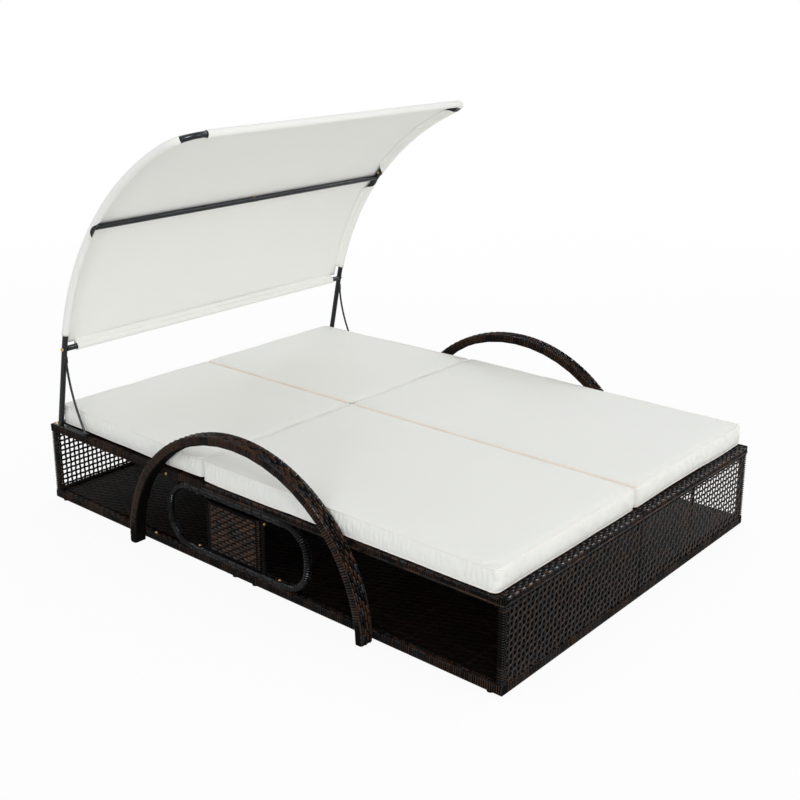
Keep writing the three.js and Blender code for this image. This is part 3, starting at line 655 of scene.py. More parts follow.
# A woven field from its corner: wefts that wave over the warps
def weaveField(pile, corner, axes, columns, rows, pitches, weft, warp, proud=0.0, tones=(0.0, 1.0)):
    corner, (across, along, up) = Vector(corner), (Vector(axis) for axis in axes)
    columnPitch, rowPitch = pitches
    middle, reach = columns * columnPitch / 2, rows * rowPitch / 2
    weftTurn = Matrix((across, along, up)).transposed().to_4x4()
    warpTurn = Matrix((along, -across, up)).transposed().to_4x4()
    for row in range(rows):
        centre = corner + across * middle + along * ((row + 0.5) * rowPitch)
        place = Matrix.Translation(centre) @ weftTurn
        pile.add(weft[row % 2], place, chance.uniform(*tones), drift=0.5)
    for column in range(columns):
        centre = corner + across * ((column + 0.5) * columnPitch) + along * reach + up * proud
        place = Matrix.Translation(centre) @ warpTurn
        pile.add(warp[column % len(warp)], place, chance.uniform(*tones), drift=0.5)


# A node's box, with the X of its outer and of its inner side
def sideBox(node, sign):
    low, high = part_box(node)
    outer, inner = max(abs(low.x), abs(high.x)), min(abs(low.x), abs(high.x))
    return low, high, sign * outer, sign * inner


def inward(place, distance):
    return place - math.copysign(distance, place)


# Wraps on the side rail, from start to stop, and on the end rail at end
def wrapCorner(
    pile, outer, inner, start, stop, end, level, pitch=rails["pitch"], lean=rails["lean"]
):
    half, grown = rails["size"] / 2, rails["size"] + 2 * rails["proud"]
    turn = wrapTurn(grown, grown, pitch * rails["fill"], rails["bevel"])
    x, y = inward(outer, half), inward(end, half)
    wrapRun(pile, turn, (x, start, level), (x, stop, level), lean=lean, pitch=pitch)
    wrapRun(pile, turn, (inner, y, level), (inward(x, half), y, level), lean=lean, pitch=pitch)


# Chain work along the same two rails, row by row
def chainCorner(pile, bumps, outer, inner, start, stop, end, level):
    for row, (setIn, bump) in enumerate(zip(rails["topRows"], bumps)):
        x, y, shift = inward(outer, setIn), inward(end, setIn), 0.5 * (row % 2)
        chainRun(pile, bump, (x, start, level), (x, stop, level), shift=shift)
        chainRun(pile, bump, (inner, y, level), (outer, y, level), shift=shift)


chainBump = strandBump(rails["chainWidth"], rails["chainLength"], rails["chainHeight"])
flatBump = strandBump(rails["chainWidth"], rails["chainLength"], rails["flatHeight"])


def wrapSeat(name, sign):
    low, high, outer, inner = sideBox(f"seat_frame_{name}", sign)
    start, rear = low.y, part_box(f"rear_frame_{name}")[0].y
    pile = Pile()
    wrapCorner(pile, outer, inner, start, rear, start, low.z + rails["size"] / 2)
    top = high.z - rails["seatSink"]
    bumps = (chainBump, flatBump, flatBump)
    chainCorner(pile, bumps, outer, inner, start + rails["cornerGap"], rear, start, top)
    far = inward(outer, rails["size"])
    for row, setIn in enumerate(rails["footRows"]):
        y, shift = start + setIn, 0.5 * (row % 2)
        places = (inner, y, top), (far, y, top)
        chainRun(pile, flatBump, *places, shift=shift, tones=rails["footTones"])
    level = high.z - rails["sideRow"]
    outward, footward = (sign, 0, 0), (0, -1, 0)
    chainRun(pile, chainBump, (outer, start, level), (outer, rear, level), outward, 0.5)
    chainRun(pile, chainBump, (inner, start, level), (outer, start, level), footward, 0.5)
    level = high.z - rails["sideStrand"]
    x, y = outer + sign * rails["proud"], start - rails["proud"]
    layStrand(pile, (x, start, level), (x, rear, level), outward)
    layStrand(pile, (inner, y, level), (outer, y, level), footward)
    addPiece(f"seatRailWrap_{name}", pile.mesh(), "rattan")


def wrapRear(name, sign):
    low, high, outer, inner = sideBox(f"rear_frame_{name}", sign)
    pile = Pile()
    way = (low.y, high.y, high.y, low.z + rails["size"] / 2)
    wrapCorner(pile, outer, inner, *way, rails["rearPitch"], rails["rearLean"])
    addPiece(f"rearRailWrap_{name}", pile.mesh(), "brownWrap")


shelf = {
    "weftPitch": 0.0118,
    "weftWidth": 0.0102,
    "warpPitch": 0.026,
    "warpWidth": 0.011,
    "crown": 0.0009,
    "lift": 0.0016,
    "rise": 0.0018,
}


def weaveShelf(name, sign, end, way):
    low, high, outer, inner = sideBox(f"shelf_frame_{end}_{name}", sign)
    far, near = way * max(abs(low.y), abs(high.y)), way * min(abs(low.y), abs(high.y))
    pile = Pile()
    wrapCorner(pile, outer, inner, near, far, far, high.z - rails["size"] / 2)
    bumps = (chainBump, chainBump)
    chainCorner(pile, bumps, outer, inner, near, far, far, high.z - rails["shelfSink"])
    addPiece(f"shelfRailWrap_{end}_{name}", pile.mesh(), "rattan")
    x0, x1 = sorted((inner, inward(outer, rails["size"])))
    y0, y1 = sorted((near, inward(far, rails["size"])))
    rows = int((x1 - x0) / shelf["weftPitch"])
    columns = round((y1 - y0) / shelf["warpPitch"])
    warpPitch = (y1 - y0) / columns
    weftSize = (shelf["weftWidth"], shelf["crown"], shelf["lift"])
    weft = [waveRibbon(columns, warpPitch, *weftSize, phase) for phase in (0, math.pi)]
    warp = [waveRibbon(1, rows * shelf["weftPitch"], shelf["warpWidth"], shelf["crown"], 0, 0)]
    work = Pile()
    corner, axes = (x0, y0, high.z + shelf["rise"]), ((0, 1, 0), (1, 0, 0), (0, 0, 1))
    weaveField(work, corner, axes, columns, rows, (warpPitch, (x1 - x0) / rows), weft, warp)
    addPiece(f"shelfWeave_{end}_{name}", work.mesh(), "shelfStrand", smooth=0)


for name, sign in sides.items():
    wrapSeat(name, sign)
    wrapRear(name, sign)
    for end, way in ends.items():
        weaveShelf(name, sign, end, way)
print("rails and shelf done")

endWork = {
    "post": 0.021,
    "postProud": 0.001,
    "seamPost": 0.012,
    "middlePost": 0.012,
    "rim": 0.012,
    "caneDepth": 0.0062,
    "columnPitch": 0.0187,
    "rows": 12,
    "gap": 0.0035,
    "weft": 0.0074,
    "warp": 0.0078,
    "thickness": 0.0021,
    "lift": 0.0019,
    "warpShare": 0.85,
    "steps": 3,
    "proud": 0.0002,
    "tones": (0.25, 1.0),
    "middleGap": 0.0024,
}


# Open cane work over the whole panel, with its wrapped frame behind it
def weaveEnd(name, sign, end, way):
    node = f"end_panel_{end}_{name}"
    low, high, outer, inner = sideBox(node, sign)
    front, back = way * max(abs(low.y), abs(high.y)), way * min(abs(low.y), abs(high.y))
    post, seam, middle, rim = (endWork[key] for key in ("post", "seamPost", "middlePost", "rim"))
    depth = abs(front - back)
    behind = depth - endWork["caneDepth"]
    x0, x1 = sorted((inner + sign * endWork["middleGap"], outer - sign * post))
    pile = Pile()

    def stand(width, deep, x, y, bottom, top):
        turn = wrapTurn(width, deep, rails["pitch"] * rails["fill"], rails["bevel"])
        wrapRun(pile, turn, (x, y, bottom), (x, y, top), (0, 1, 0), rails["panelLean"])

    y = back + way * behind / 2
    tall = depth + endWork["postProud"]
    stand(post, tall, outer - sign * post / 2, (front + back) / 2, low.z, high.z)
    stand(seam, behind, inner + sign * seam / 2, y, low.z, high.z)
    stand(middle, behind, (x0 + x1) / 2, y, low.z + rim, high.z - rim)
    flat = wrapTurn(behind, rim, rails["pitch"] * rails["fill"], rails["bevel"])
    for z in (low.z + rim / 2, high.z - rim / 2):
        wrapRun(pile, flat, (x0, y, z), (x1, y, z), lean=rails["panelLean"])
    columns = round((x1 - x0) / endWork["columnPitch"])
    rows = endWork["rows"]
    pitchX, pitchZ = (x1 - x0) / columns, (high.z - low.z - 2 * endWork["gap"]) / rows
    thickness, lift = endWork["thickness"], endWork["lift"]
    warpLift = lift * endWork["warpShare"]
    weft, warp = (
        [waveStrand(count, pitch, *size, phase, endWork["steps"]) for phase in (0, math.pi)]
        for count, pitch, size in (
            (columns, pitchX, (endWork["weft"], thickness, lift)),
            (rows, pitchZ, (endWork["warp"], thickness, warpLift)),
        )
    )
    corner = (x0 if way < 0 else x1, front - way * endWork["caneDepth"] / 2, low.z + endWork["gap"])
    axes = ((-way, 0, 0), (0, 0, 1), (0, way, 0))
    looks = (weft, warp, endWork["proud"], endWork["tones"])
    weaveField(pile, corner, axes, columns, rows, (pitchX, pitchZ), *looks)
    addPiece(f"endWork_{end}_{name}", pile.mesh(), "cane", (node,))


for name, sign in sides.items():
    for end, way in ends.items():
        weaveEnd(name, sign, end, way)
print("end panels done")

support = {
    "tube": 0.011,
    "tubeProud": 0.0014,
    "tubeBevel": 0.0018,
    "post": 0.007,
    "postBevel": 0.0020,
    "bend": 0.095,
    "pitch": 0.0080,
    "fill": 0.64,
    "postSpacing": 0.252,
    "border": 0.0125,
    "borderProud": 0.001,
    "spill": 0.005,
    "rim": 0.006,
    "rimSetIn": 0.002,
    "rimBevel": 0.0015,
    "oval": 0.034,
    "ovalRow": 0.0105,
    "ovalHeight": 0.0034,
    "ovalFill": (0.92, 0.96),
    "ovalTilt": 7,
    "brick": 0.036,
    "brickPitch": 0.041,
    "brickWidth": 0.0085,
    "brickHeight": 0.003,
    "brickBevel": 0.0012,
    "brickProud": 0.0006,
    "brickLeans": (-36, 36),
}


# Points at even steps along straight runs joined by round bends
def evenSteps(points, pitch):
    points = [Vector(point) for point in points]
    lengths = [0.0]
    for before, after in zip(points, points[1:]):
        lengths.append(lengths[-1] + (after - before).length)
    count = max(1, round(lengths[-1] / pitch))
    steps = []
    at = 0
    for i in range(count):
        wanted = lengths[-1] * (i + 0.5) / count
        while lengths[at + 1] < wanted:
            at += 1
        share = (wanted - lengths[at]) / (lengths[at + 1] - lengths[at])
        steps.append((points[at].lerp(points[at + 1], share), points[at + 1] - points[at]))
    return steps


# A box's outline with round corners, as pairs, quarter by quarter
def roundedLoop(low, high, bend, steps):
    (x0, y0), (x1, y1) = low, high
    points = []
    left, right, lower, upper = x0 + bend, x1 - bend, y0 + bend, y1 - bend
    corners = (right, upper), (left, upper), (left, lower), (right, lower)
    for quarter, (x, y) in enumerate(corners):
        for i in range(steps + 1):
            angle = (quarter + i / steps) * math.pi / 2
            points.append((x + bend * math.cos(angle), y + bend * math.sin(angle)))
    return points + points[:1]


def wrapSupport(name, sign):
    low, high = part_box(f"side_support_{name}")
    tube, bend, pitch = support["tube"], support["bend"], support["pitch"]
    x = (low.x + high.x) / 2
    z0, z1 = low.z + tube, high.z - tube
    pile = Pile()
    length = pitch * support["fill"]
    turn = roundTurn(tube + support["tubeProud"], length, support["tubeBevel"], 16)
    loop = roundedLoop((low.y + tube, z0), (high.y - tube, z1), bend, 10)
    steps = evenSteps([(x, y, z) for y, z in loop], pitch)
    for (point, along), tone in zip(steps, blockTones(len(steps))):
        pile.add(turn, placeAt(point, along, (sign, 0, 0)), tone)
    size = (support["brickWidth"], support["brickHeight"], support["brick"])
    brick = wrapTurn(*size, support["brickBevel"])
    for z in (z0, z1):
        for row, lean in enumerate(support["brickLeans"]):
            lean = math.radians(lean)
            outward = Vector((sign * math.cos(lean), 0, math.sin(lean)))
            spot = Vector((x, 0, z)) + outward * (tube + support["brickProud"])
            start, end = (spot + Vector((0, y, 0)) for y in (low.y + bend, high.y - bend))
            chainRun(pile, brick, start, end, outward, 0.5 * row, support["brickPitch"])
    thin = roundTurn(support["post"], length, support["postBevel"], 12)
    middle, apart = (low.y + high.y) / 2, support["postSpacing"] / 2
    for y in (middle - apart, middle + apart):
        wrapRun(pile, thin, (x, y, z0), (x, y, z1), (1, 0, 0), pitch=pitch)
    addPiece(f"supportWrap_{name}", pile.mesh(), "greyRattan")


# Basket work of long ovals, rows staggered, between wrapped border strips
def weavePanel(name, sign):
    low, high, face, _ = sideBox(f"side_panel_{name}", sign)
    border, rim, spill = support["border"], support["rim"], support["spill"]
    pile = Pile()
    deep, x = high.x - low.x, (low.x + high.x) / 2
    length = rails["pitch"] * rails["fill"]
    turn = wrapTurn(border, deep + support["borderProud"], length, rails["bevel"])
    flat = wrapTurn(deep - support["rimSetIn"], rim, length, support["rimBevel"])
    for y in (low.y + border / 2 - spill, high.y - border / 2 + spill):
        wrapRun(pile, turn, (x, y, low.z), (x, y, high.z), (1, 0, 0), rails["panelLean"])
    for z in (low.z + rim / 2, high.z - rim / 2):
        start, end = (x, low.y + border, z), (x, high.y - border, z)
        wrapRun(pile, flat, start, end, lean=rails["panelLean"])
    y0, y1 = low.y + border - spill, high.y - border + spill
    z0, z1 = low.z + rim, high.z - rim
    rows = round((z1 - z0) / support["ovalRow"])
    pitchZ = (z1 - z0) / rows
    wide, long = support["ovalFill"]
    bump = strandBump(pitchZ * wide, support["oval"] * long, support["ovalHeight"])
    for depth in (face, 2 * x - face):
        outward = (1 if depth > x else -1, 0, 0)
        for row in range(rows):
            z = z0 + (row + 0.5) * pitchZ
            at = y0 + (0.5 * (row % 2) - 0.25) * support["oval"]
            while at < y1 + support["oval"] / 2:
                oval = bump.copy()
                tilt = Matrix.Rotation(math.radians(chance.uniform(0, support["ovalTilt"])), 4, "Z")
                oval.transform(placeAt((depth, at, z), (0, 1, 0), outward) @ tilt)
                for vert in oval.vertices:
                    vert.co.y = min(y1, max(y0, vert.co.y))
                pile.add(oval, Matrix.Identity(4), drift=0.5)
                bpy.data.meshes.remove(oval)
                at += support["oval"]
    addPiece(f"panelWeave_{name}", pile.mesh(), "brownWrap")


for name, sign in sides.items():
    wrapSupport(name, sign)
    weavePanel(name, sign)
print("side supports done")

arms = {
    "reach": 0.5115,
    "rise": 0.4755,
    "centreY": -0.022,
    "setIn": 0.023,
    "width": 0.0478,
    "thickness": 0.0255,
    "pitch": 0.0080,
    "fill": 0.66,
    "bevel": 0.0024,
    "lean": 4,
    "block": 6,
    "wrapTones": (0.20, 0.56),
    "ovalPitch": 0.030,
    "ovalRows": 4,
    "ovalHeight": 0.0050,
    "ovalFill": (0.84, 0.97),
    "ovalProud": 0.0002,
    # The tones 0.9 and 1.0 give some ovals the pale bluish strand colour, as painted glints
    "ovalTones": (0.05, 0.15, 0.3, 0.5, 0.56, 0.62, 0.8, 0.9, 1.0),
    "edgeStrand": 0.0045,
    "edgeFill": 0.9,
    "edgeHeight": 0.0045,
    "edgeLength": 0.0185,
    "edgePitch": 0.0192,
    "edgeBevel": 0.0014,
    "edgeProud": 0.0004,
    "edgeBlock": 3,
    "edgeTones": (0.4, 0.6),
    "footNarrow": 0.10,
    "footReach": 0.09,
    "floorGap": 0.0004,
}


def wrapArm(name, sign):
    x = inward(sideBox(f"arm_{name}", sign)[2], arms["setIn"])
    reach, rise, centre = arms["reach"], arms["rise"], arms["centreY"]
    width, thickness = arms["width"], arms["thickness"]
    turn = wrapTurn(width, thickness, arms["pitch"] * arms["fill"], arms["bevel"], 2)
    points = []
    for i in range(361):
        angle = math.radians(180 * i / 360)
        points.append((x, centre + reach * math.cos(angle), rise * math.sin(angle)))
    pile = Pile()

    # Copies along the half ellipse, with their Z outward from it
    def onArm(point, along, aside=0.0, proud=None):
        outward = (0, (point.y - centre) / reach**2, point.z / rise**2)
        lift = 0.0 if proud is None else thickness / 2 + proud
        return placeAt(point, along, outward) @ Matrix.Translation((aside, 0, lift))

    steps = evenSteps(points, arms["pitch"])
    dark, extra = arms["wrapTones"]
    for (point, along), tone in zip(steps, blockTones(len(steps), arms["block"])):
        pile.add(turn, onArm(point, along) @ wobbled(arms["lean"]), dark + extra * tone)
    strip = width - 2 * arms["edgeStrand"]
    rowWidth = strip / arms["ovalRows"]
    wide, long = arms["ovalFill"]
    bump = strandBump(rowWidth * wide, arms["ovalPitch"] * long, arms["ovalHeight"])
    steps = evenSteps(points, arms["ovalPitch"] / 2)
    for row in range(arms["ovalRows"]):
        aside = (row + 0.5) * rowWidth - strip / 2
        for point, along in steps[row % 2 :: 2]:
            place = onArm(point, along, aside, arms["ovalProud"])
            # some ovals take the pale bluish tones: painted glints
            pile.add(bump, place, chance.choice(arms["ovalTones"]))
    edgeWidth = arms["edgeStrand"] * arms["edgeFill"]
    edge = wrapTurn(edgeWidth, arms["edgeHeight"], arms["edgeLength"], arms["edgeBevel"])
    aside = (width - arms["edgeStrand"]) / 2
    dark, extra = arms["edgeTones"]
    tones = blockTones(200, arms["edgeBlock"])
    for (point, along), tone in zip(evenSteps(points, arms["edgePitch"]), tones):
        for way in (-1, 1):
            place = onArm(point, along, way * aside, arms["edgeProud"])
            pile.add(edge, place, dark + extra * tone)
    for vert in pile.shape.verts:
        vert.co.z = max(vert.co.z, arms["floorGap"])
        narrow = 1 - arms["footNarrow"] * max(0.0, 1 - vert.co.z / arms["footReach"])
        vert.co.x = x + (vert.co.x - x) * narrow
    addPiece(f"armWrap_{name}", pile.mesh(), "rattan")


for name, sign in sides.items():
    wrapArm(name, sign)
print("arms done")

canopy = {
    "reach": 1.084,
    "rise": 1.051,
    "centreY": -0.170,
    "centreZ": 0.381,
    "tube": 0.010,
    "sleeve": 0.0125,
    "railX": 0.693,
    "jointZ": 0.584,
    "elbowY": 0.285,
    "elbowBend": 0.085,
    "elbowShare": 0.995,
    "footRise": 0.002,
    "plateHalf": 0.011,
    "plateThickness": 0.004,
    "plateBevel": 0.001,
    "barLap": 0.001,
    "plugGap": 0.0004,
    "plug": (-0.004, 0.030),
    "plugRadius": 0.0104,
    "midZ": 1.040,
    "sleeveZ": 0.638,
    "tabZ": 0.599,
    "tabX": 0.674,
    "hemX": 0.645,
    "frontHem": 0.597,
    "frontEnd": 0.608,
    "frontBare": 0.010,
    "slitReach": 0.068,
    "slitDepth": 0.72,
    "elbowSlit": 0.55,
    "fold": 0.007,
    "foldRise": 1.4,
    "lap": 0.0016,
    "sag": 0.004,
    "ripple": 0.0026,
    # Scale across, scale along, seed and share of each wave
    "waves": ((2.2, 3.1, 1.7, 1.0), (9, 2.4, 4.2, 0.35)),
    "calmEdge": 6,
    "sideSteps": (0.009, 0.009, 0.010, 0.010, 0.0037),
    "middleStep": 0.011,
    "alongSteps": (0.0037, 0.008, 0.010, 0.010, 0.008, 0.005, 0.0037),
    "restReach": 0.045,
    "restDrop": 0.0010,
    "cloth": 0.0011,
}
tubeRound = 1.5 * math.pi  # how far round a tube the cloth goes


def clamp(value):
    return min(1.0, max(0.0, value))


def archAngle(z):
    return math.asin((z - canopy["centreZ"]) / canopy["rise"])


def archPoint(angle, x=0.0):
    y = canopy["centreY"] + canopy["reach"] * math.cos(angle)
    return Vector((x, y, canopy["centreZ"] + canopy["rise"] * math.sin(angle)))


def archNormal(angle):
    y, z = canopy["rise"] * math.cos(angle), canopy["reach"] * math.sin(angle)
    return Vector((0, y, z)).normalized()


elbowAngle = math.acos((canopy["elbowY"] - canopy["centreY"]) / canopy["reach"])
elbowNormal = archNormal(elbowAngle)
elbowWay = Vector((0, -elbowNormal.z, elbowNormal.y))
jointAngle = archAngle(canopy["jointZ"])
jointPoint = archPoint(jointAngle)
midPoint = archPoint(archAngle(canopy["midZ"]))
archLength = 0.5 * (canopy["reach"] + canopy["rise"]) * (elbowAngle - jointAngle)
postSlope = canopy["reach"] / canopy["rise"] * math.tan(jointAngle)


# Where the post stands below its joint, at that height
def postY(z):
    return jointPoint.y + postSlope * (canopy["jointZ"] - z)


# How far along the arch that height lies, from the joint
def archMark(z):
    return archLength * (archAngle(z) - jointAngle) / (elbowAngle - jointAngle)


# The elbow in the plane of the arch's end: how far aside and how far onward at that angle
def elbowSpot(angle):
    bend = canopy["elbowBend"]
    return canopy["railX"] - bend * (1 - math.cos(angle)), bend * math.sin(angle)


def canopyTubes(name, sign):
    x, half = sign * canopy["railX"], canopy["plateHalf"]
    low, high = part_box(f"canopy_post_{name}")
    footZ = low.z + canopy["footRise"]
    span = [archPoint(jointAngle + (elbowAngle - jointAngle) * i / 70, x) for i in range(71)]
    tube = tubeMesh([(x, postY(footZ), footZ), *span], canopy["tube"])
    corners = (x - half, low.y, low.z), (x + half, high.y, low.z + canopy["plateThickness"])
    plate = bevelledBox(*corners, canopy["plateBevel"])
    nodes = (f"canopy_post_{name}", f"canopy_arch_{name}")
    addPiece(f"canopyTube_{name}", joined([tube, plate]), "steel", nodes)
    turn = []
    for i in range(17):
        aside, onward = elbowSpot(i / 16 * math.pi / 2)
        turn.append(archPoint(elbowAngle) + elbowWay * onward + Vector((sign * aside, 0, 0)))
    elbow = tubeMesh(turn, canopy["tube"] * canopy["elbowShare"])
    addPiece(f"canopyElbow_{name}", elbow, "steel", (f"canopy_elbow_{name}",))


def barMesh(start, end, point, radius=canopy["tube"]):
    return tubeMesh([(start, point.y, point.z), (end, point.y, point.z)], radius)


def canopyBars():
    reach = canopy["railX"] - canopy["tube"] + canopy["barLap"]
    for name, sign in sides.items():
        bar = barMesh(canopy["plugGap"] * sign, sign * reach, midPoint)
        addPiece(f"midBar_{name}", bar, "steel", (f"canopy_mid_bar_{name}",))
    addPiece("midJoint", barMesh(*canopy["plug"], midPoint, canopy["plugRadius"]), "steel")
    addPiece("lowerBar", barMesh(-reach, reach, jointPoint), "steel", ("canopy_lower_bar",))


brace = {
    "rod": 0.004,
    "tab": 0.014,
    "tabLength": 0.026,
    "tabThickness": 0.003,
    "tabBevel": 0.0009,
    "bulge": 0.017,
    "gap": 0.0003,
}


# A thin rod that bows out between its flat ends, from the post to the rail
def canopyBraces(name):
    node = f"canopy_brace_{name}"
    low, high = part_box(node)
    x, half, length = (low.x + high.x) / 2, brace["tabThickness"] / 2, brace["tabLength"]
    topZ = high.z - length / 2
    top = Vector((x, postY(topZ) - canopy["tube"] - brace["gap"] - half, topZ))
    foot = Vector((x, low.y + length / 2, low.z + half))
    bow = (top + foot) / 2 + Vector((0, 2 * brace["bulge"], 0))
    shares = np.linspace(0.0, 1.0, 25)
    points = [top * (1 - t) ** 2 + bow * 2 * t * (1 - t) + foot * t**2 for t in shares]
    x0, x1 = x - brace["tab"] / 2, x + brace["tab"] / 2
    tabs = [
        ((x0, top.y - half, high.z - length), (x1, top.y + half, high.z)),
        ((x0, low.y, low.z), (x1, low.y + length, low.z + 2 * half)),
    ]
    parts = [tubeMesh(points, brace["rod"], 4)]
    parts += [bevelledBox(*corners, brace["tabBevel"]) for corners in tabs]
    addPiece(f"braceRod_{name}", joined(parts), "steel", (node,))


# Round three quarters of a tube, then back along the underside of the sheet
def wrapSpot(length, tube):
    turn, climb = tubeRound * tube, canopy["foldRise"] * tube
    if length <= turn:
        angle = length / tube
        return tube * math.sin(angle), tube * math.cos(angle)
    rise = min(1.0, (length - turn) / climb)
    rest = max(0.0, length - turn - climb)
    return -tube - 0.6 * tube * rise - rest, (tube - canopy["lap"]) * rise


# Inside the corner the sheet fills the round of the elbow: both its ways end on the tube
def cornerSpot(q, v):
    bend, start = canopy["elbowBend"], canopy["frontEnd"]
    front = elbowSpot(math.pi / 2 - q * math.pi / 4)
    flank = elbowSpot(v * math.pi / 4)
    tip = elbowSpot(math.pi / 4)
    aside = (1 - v) * (start + q * bend) + v * front[0] + (1 - q) * start + q * flank[0]
    aside -= (1 - v) * ((1 - q) * start + q * (start + bend)) + v * ((1 - q) * start + q * tip[0])
    onward = v * front[1] + (1 - q) * v * bend + q * flank[1] - v * ((1 - q) * bend + q * tip[1])
    return aside, onward


# How much of the sleeve's width is left: less where the middle bar enters and at the right elbow
def sleeveShare(side, along):
    reach = (along - archMark(canopy["midZ"])) / canopy["slitReach"]
    share = 1 - canopy["slitDepth"] * max(0.0, 1 - reach**2)
    if side > 0:
        share -= canopy["elbowSlit"] * clamp((along - archLength + 0.03) / 0.06)
    return share


# The cloth: one sheet over the arch, folded round the tubes and bars and stitched back
def clothSpot(across, along):
    tube, bend, rail = canopy["sleeve"], canopy["elbowBend"], canopy["railX"]
    side = math.copysign(1, across)
    aside, out, wrapped = abs(across), (1.0, 0.0), 0.0
    edge, beyond = aside - rail, along - archLength
    normal, way = elbowNormal, elbowWay
    if beyond <= 0:
        angle = jointAngle + (elbowAngle - jointAngle) * max(0.0, along) / archLength
        centre, normal = archPoint(angle), archNormal(angle)
        way = Vector((0, normal.z, -normal.y))
        if edge > 0:
            aside, wrapped = rail, edge * sleeveShare(side, along)
        elif along < 0:
            out, wrapped = (0.0, 1.0), -along
    else:
        q = clamp((aside - canopy["frontEnd"]) / bend)
        v = min(1.0, beyond / bend)
        turn = v * math.pi / 4 if edge > 0 else math.pi / 2 - q * math.pi / 4
        onward = v * bend
        if aside > canopy["frontEnd"]:
            aside, onward = cornerSpot(q, v)
        centre = archPoint(elbowAngle) + elbowWay * onward
        if edge > 0 or beyond > bend:
            out = (math.cos(turn), math.sin(turn))
        if edge > 0:
            wrapped = edge * sleeveShare(side, along)
        elif beyond > bend:
            wrapped = (beyond - bend) * (1 - canopy["elbowSlit"] * q if side > 0 else 1.0)
    spot = centre + Vector((side * aside, 0, 0))
    if wrapped > 0:
        reach, lift = wrapSpot(wrapped, tube)
        if reach < -tube:
            lift += sheetWave(side * (aside + reach * out[0]), along)
        return spot + (Vector((side * out[0], 0, 0)) + way * out[1]) * reach + normal * lift
    return spot + normal * (tube + sheetWave(across, along))


# The sheet's slack between the tubes, with its slow ripples: over the three bars it lies on them
def sheetWave(across, along):
    rail, ripple = canopy["railX"], canopy["ripple"]
    loose = min(1.0, canopy["calmEdge"] * max(0.0, 1 - abs(across) / rail))
    slack = max(0.0, 1 - (across / rail) ** 2) * canopy["sag"]
    wave = 0.0
    for scaleX, scaleY, seed, share in canopy["waves"]:
        wave += noise.noise(Vector((across * scaleX, along * scaleY, seed))) * ripple * share
    wave = wave * loose - slack
    bars = (0.0, archMark(canopy["midZ"]), archLength + canopy["elbowBend"])
    rest = max(math.exp(-(((along - bar) / canopy["restReach"]) ** 4)) for bar in bars)
    return wave + rest * max(0.0, -canopy["restDrop"] - wave)


# Places along one way of the sheet, in even steps between the marks
def spread(marks, steps):
    places = [marks[0]]
    for before, after, step in zip(marks, marks[1:], steps):
        count = max(1, round((after - before) / step))
        places += [before + (after - before) * (i + 1) / count for i in range(count)]
    return places


def canopyCloth():
    tube, rail, front = canopy["sleeve"], canopy["railX"], archLength + canopy["elbowBend"]
    hem = tubeRound * tube + canopy["foldRise"] * tube + canopy["fold"]
    hemX, tabX, frontHem = canopy["hemX"], canopy["tabX"], canopy["frontHem"]
    bareFrom = front - canopy["frontBare"]
    tab, sleeveEnd = archMark(canopy["tabZ"]), archMark(canopy["sleeveZ"])
    sideMarks = [frontHem, canopy["frontEnd"], hemX, tabX, rail, rail + hem]
    acrossMarks = [-mark for mark in reversed(sideMarks)] + sideMarks
    sideSteps = canopy["sideSteps"]
    across = spread(acrossMarks, [*reversed(sideSteps), canopy["middleStep"], *sideSteps])
    alongMarks = [-hem, 0.0, tab, sleeveEnd, archLength, bareFrom, front, front + hem]
    along = spread(alongMarks, canopy["alongSteps"])
    columns, rows = len(across) - 1, len(along) - 1
    shape = bmesh.new()
    bmesh.ops.create_grid(shape, x_segments=columns, y_segments=rows, size=0.5)
    flat = {}
    for vert in shape.verts:
        column, row = round((vert.co.x + 0.5) * columns), round((vert.co.y + 0.5) * rows)
        flat[vert] = (across[column], along[row])
    doomed = []
    for face in shape.faces:
        x, y = (sum(flat[vert][i] for vert in face.verts) / 4 for i in (0, 1))
        lower = (y < tab and abs(x) > hemX) or (y < sleeveEnd and abs(x) > tabX)
        bare = y > bareFrom and x < -frontHem
        if lower or bare or (y > front and abs(x) > rail):
            doomed.append(face)
    bmesh.ops.delete(shape, geom=doomed, context="FACES")
    for vert in shape.verts:
        vert.co = clothSpot(*flat[vert])
    area = sum(face.calc_area() for face in shape.faces)
    cloth = addPiece("canopyCloth", toMesh(shape), "canopy", ("canopy_cloth",), smooth=0)
    solid = cloth.modifiers.new("thickness", "SOLIDIFY")
    solid.thickness = canopy["cloth"]
    solid.offset = 0


for name, sign in sides.items():
    canopyTubes(name, sign)
    canopyBraces(name)
canopyBars()
canopyCloth()
print("canopy done")

bolts = {
    "washer": 0.0085,
    "washerDepth": 0.0016,
    "head": 0.0058,
    "headDepth": 0.0042,
    "ringLift": 0.0006,
    "aboveBar": 0.021,
    "plugSide": 0.012,
}


# A hex head on its washer, along +Z from its seat
def boltMesh(scale):
    shape = bmesh.new()
    washer, head = bolts["washerDepth"] * scale, bolts["headDepth"] * scale
    for corners, radius, taper, depth, middle in (
        (20, bolts["washer"] * scale, 0.94, washer, washer / 2),
        (6, bolts["head"] * scale, 0.9, head, washer + head / 2),
    ):
        size = {"segments": corners, "radius1": radius, "radius2": radius * taper, "depth": depth}
        place = Matrix.Translation((0, 0, middle))
        bmesh.ops.create_cone(shape, cap_ends=True, **size, matrix=place)
    return toMesh(shape)


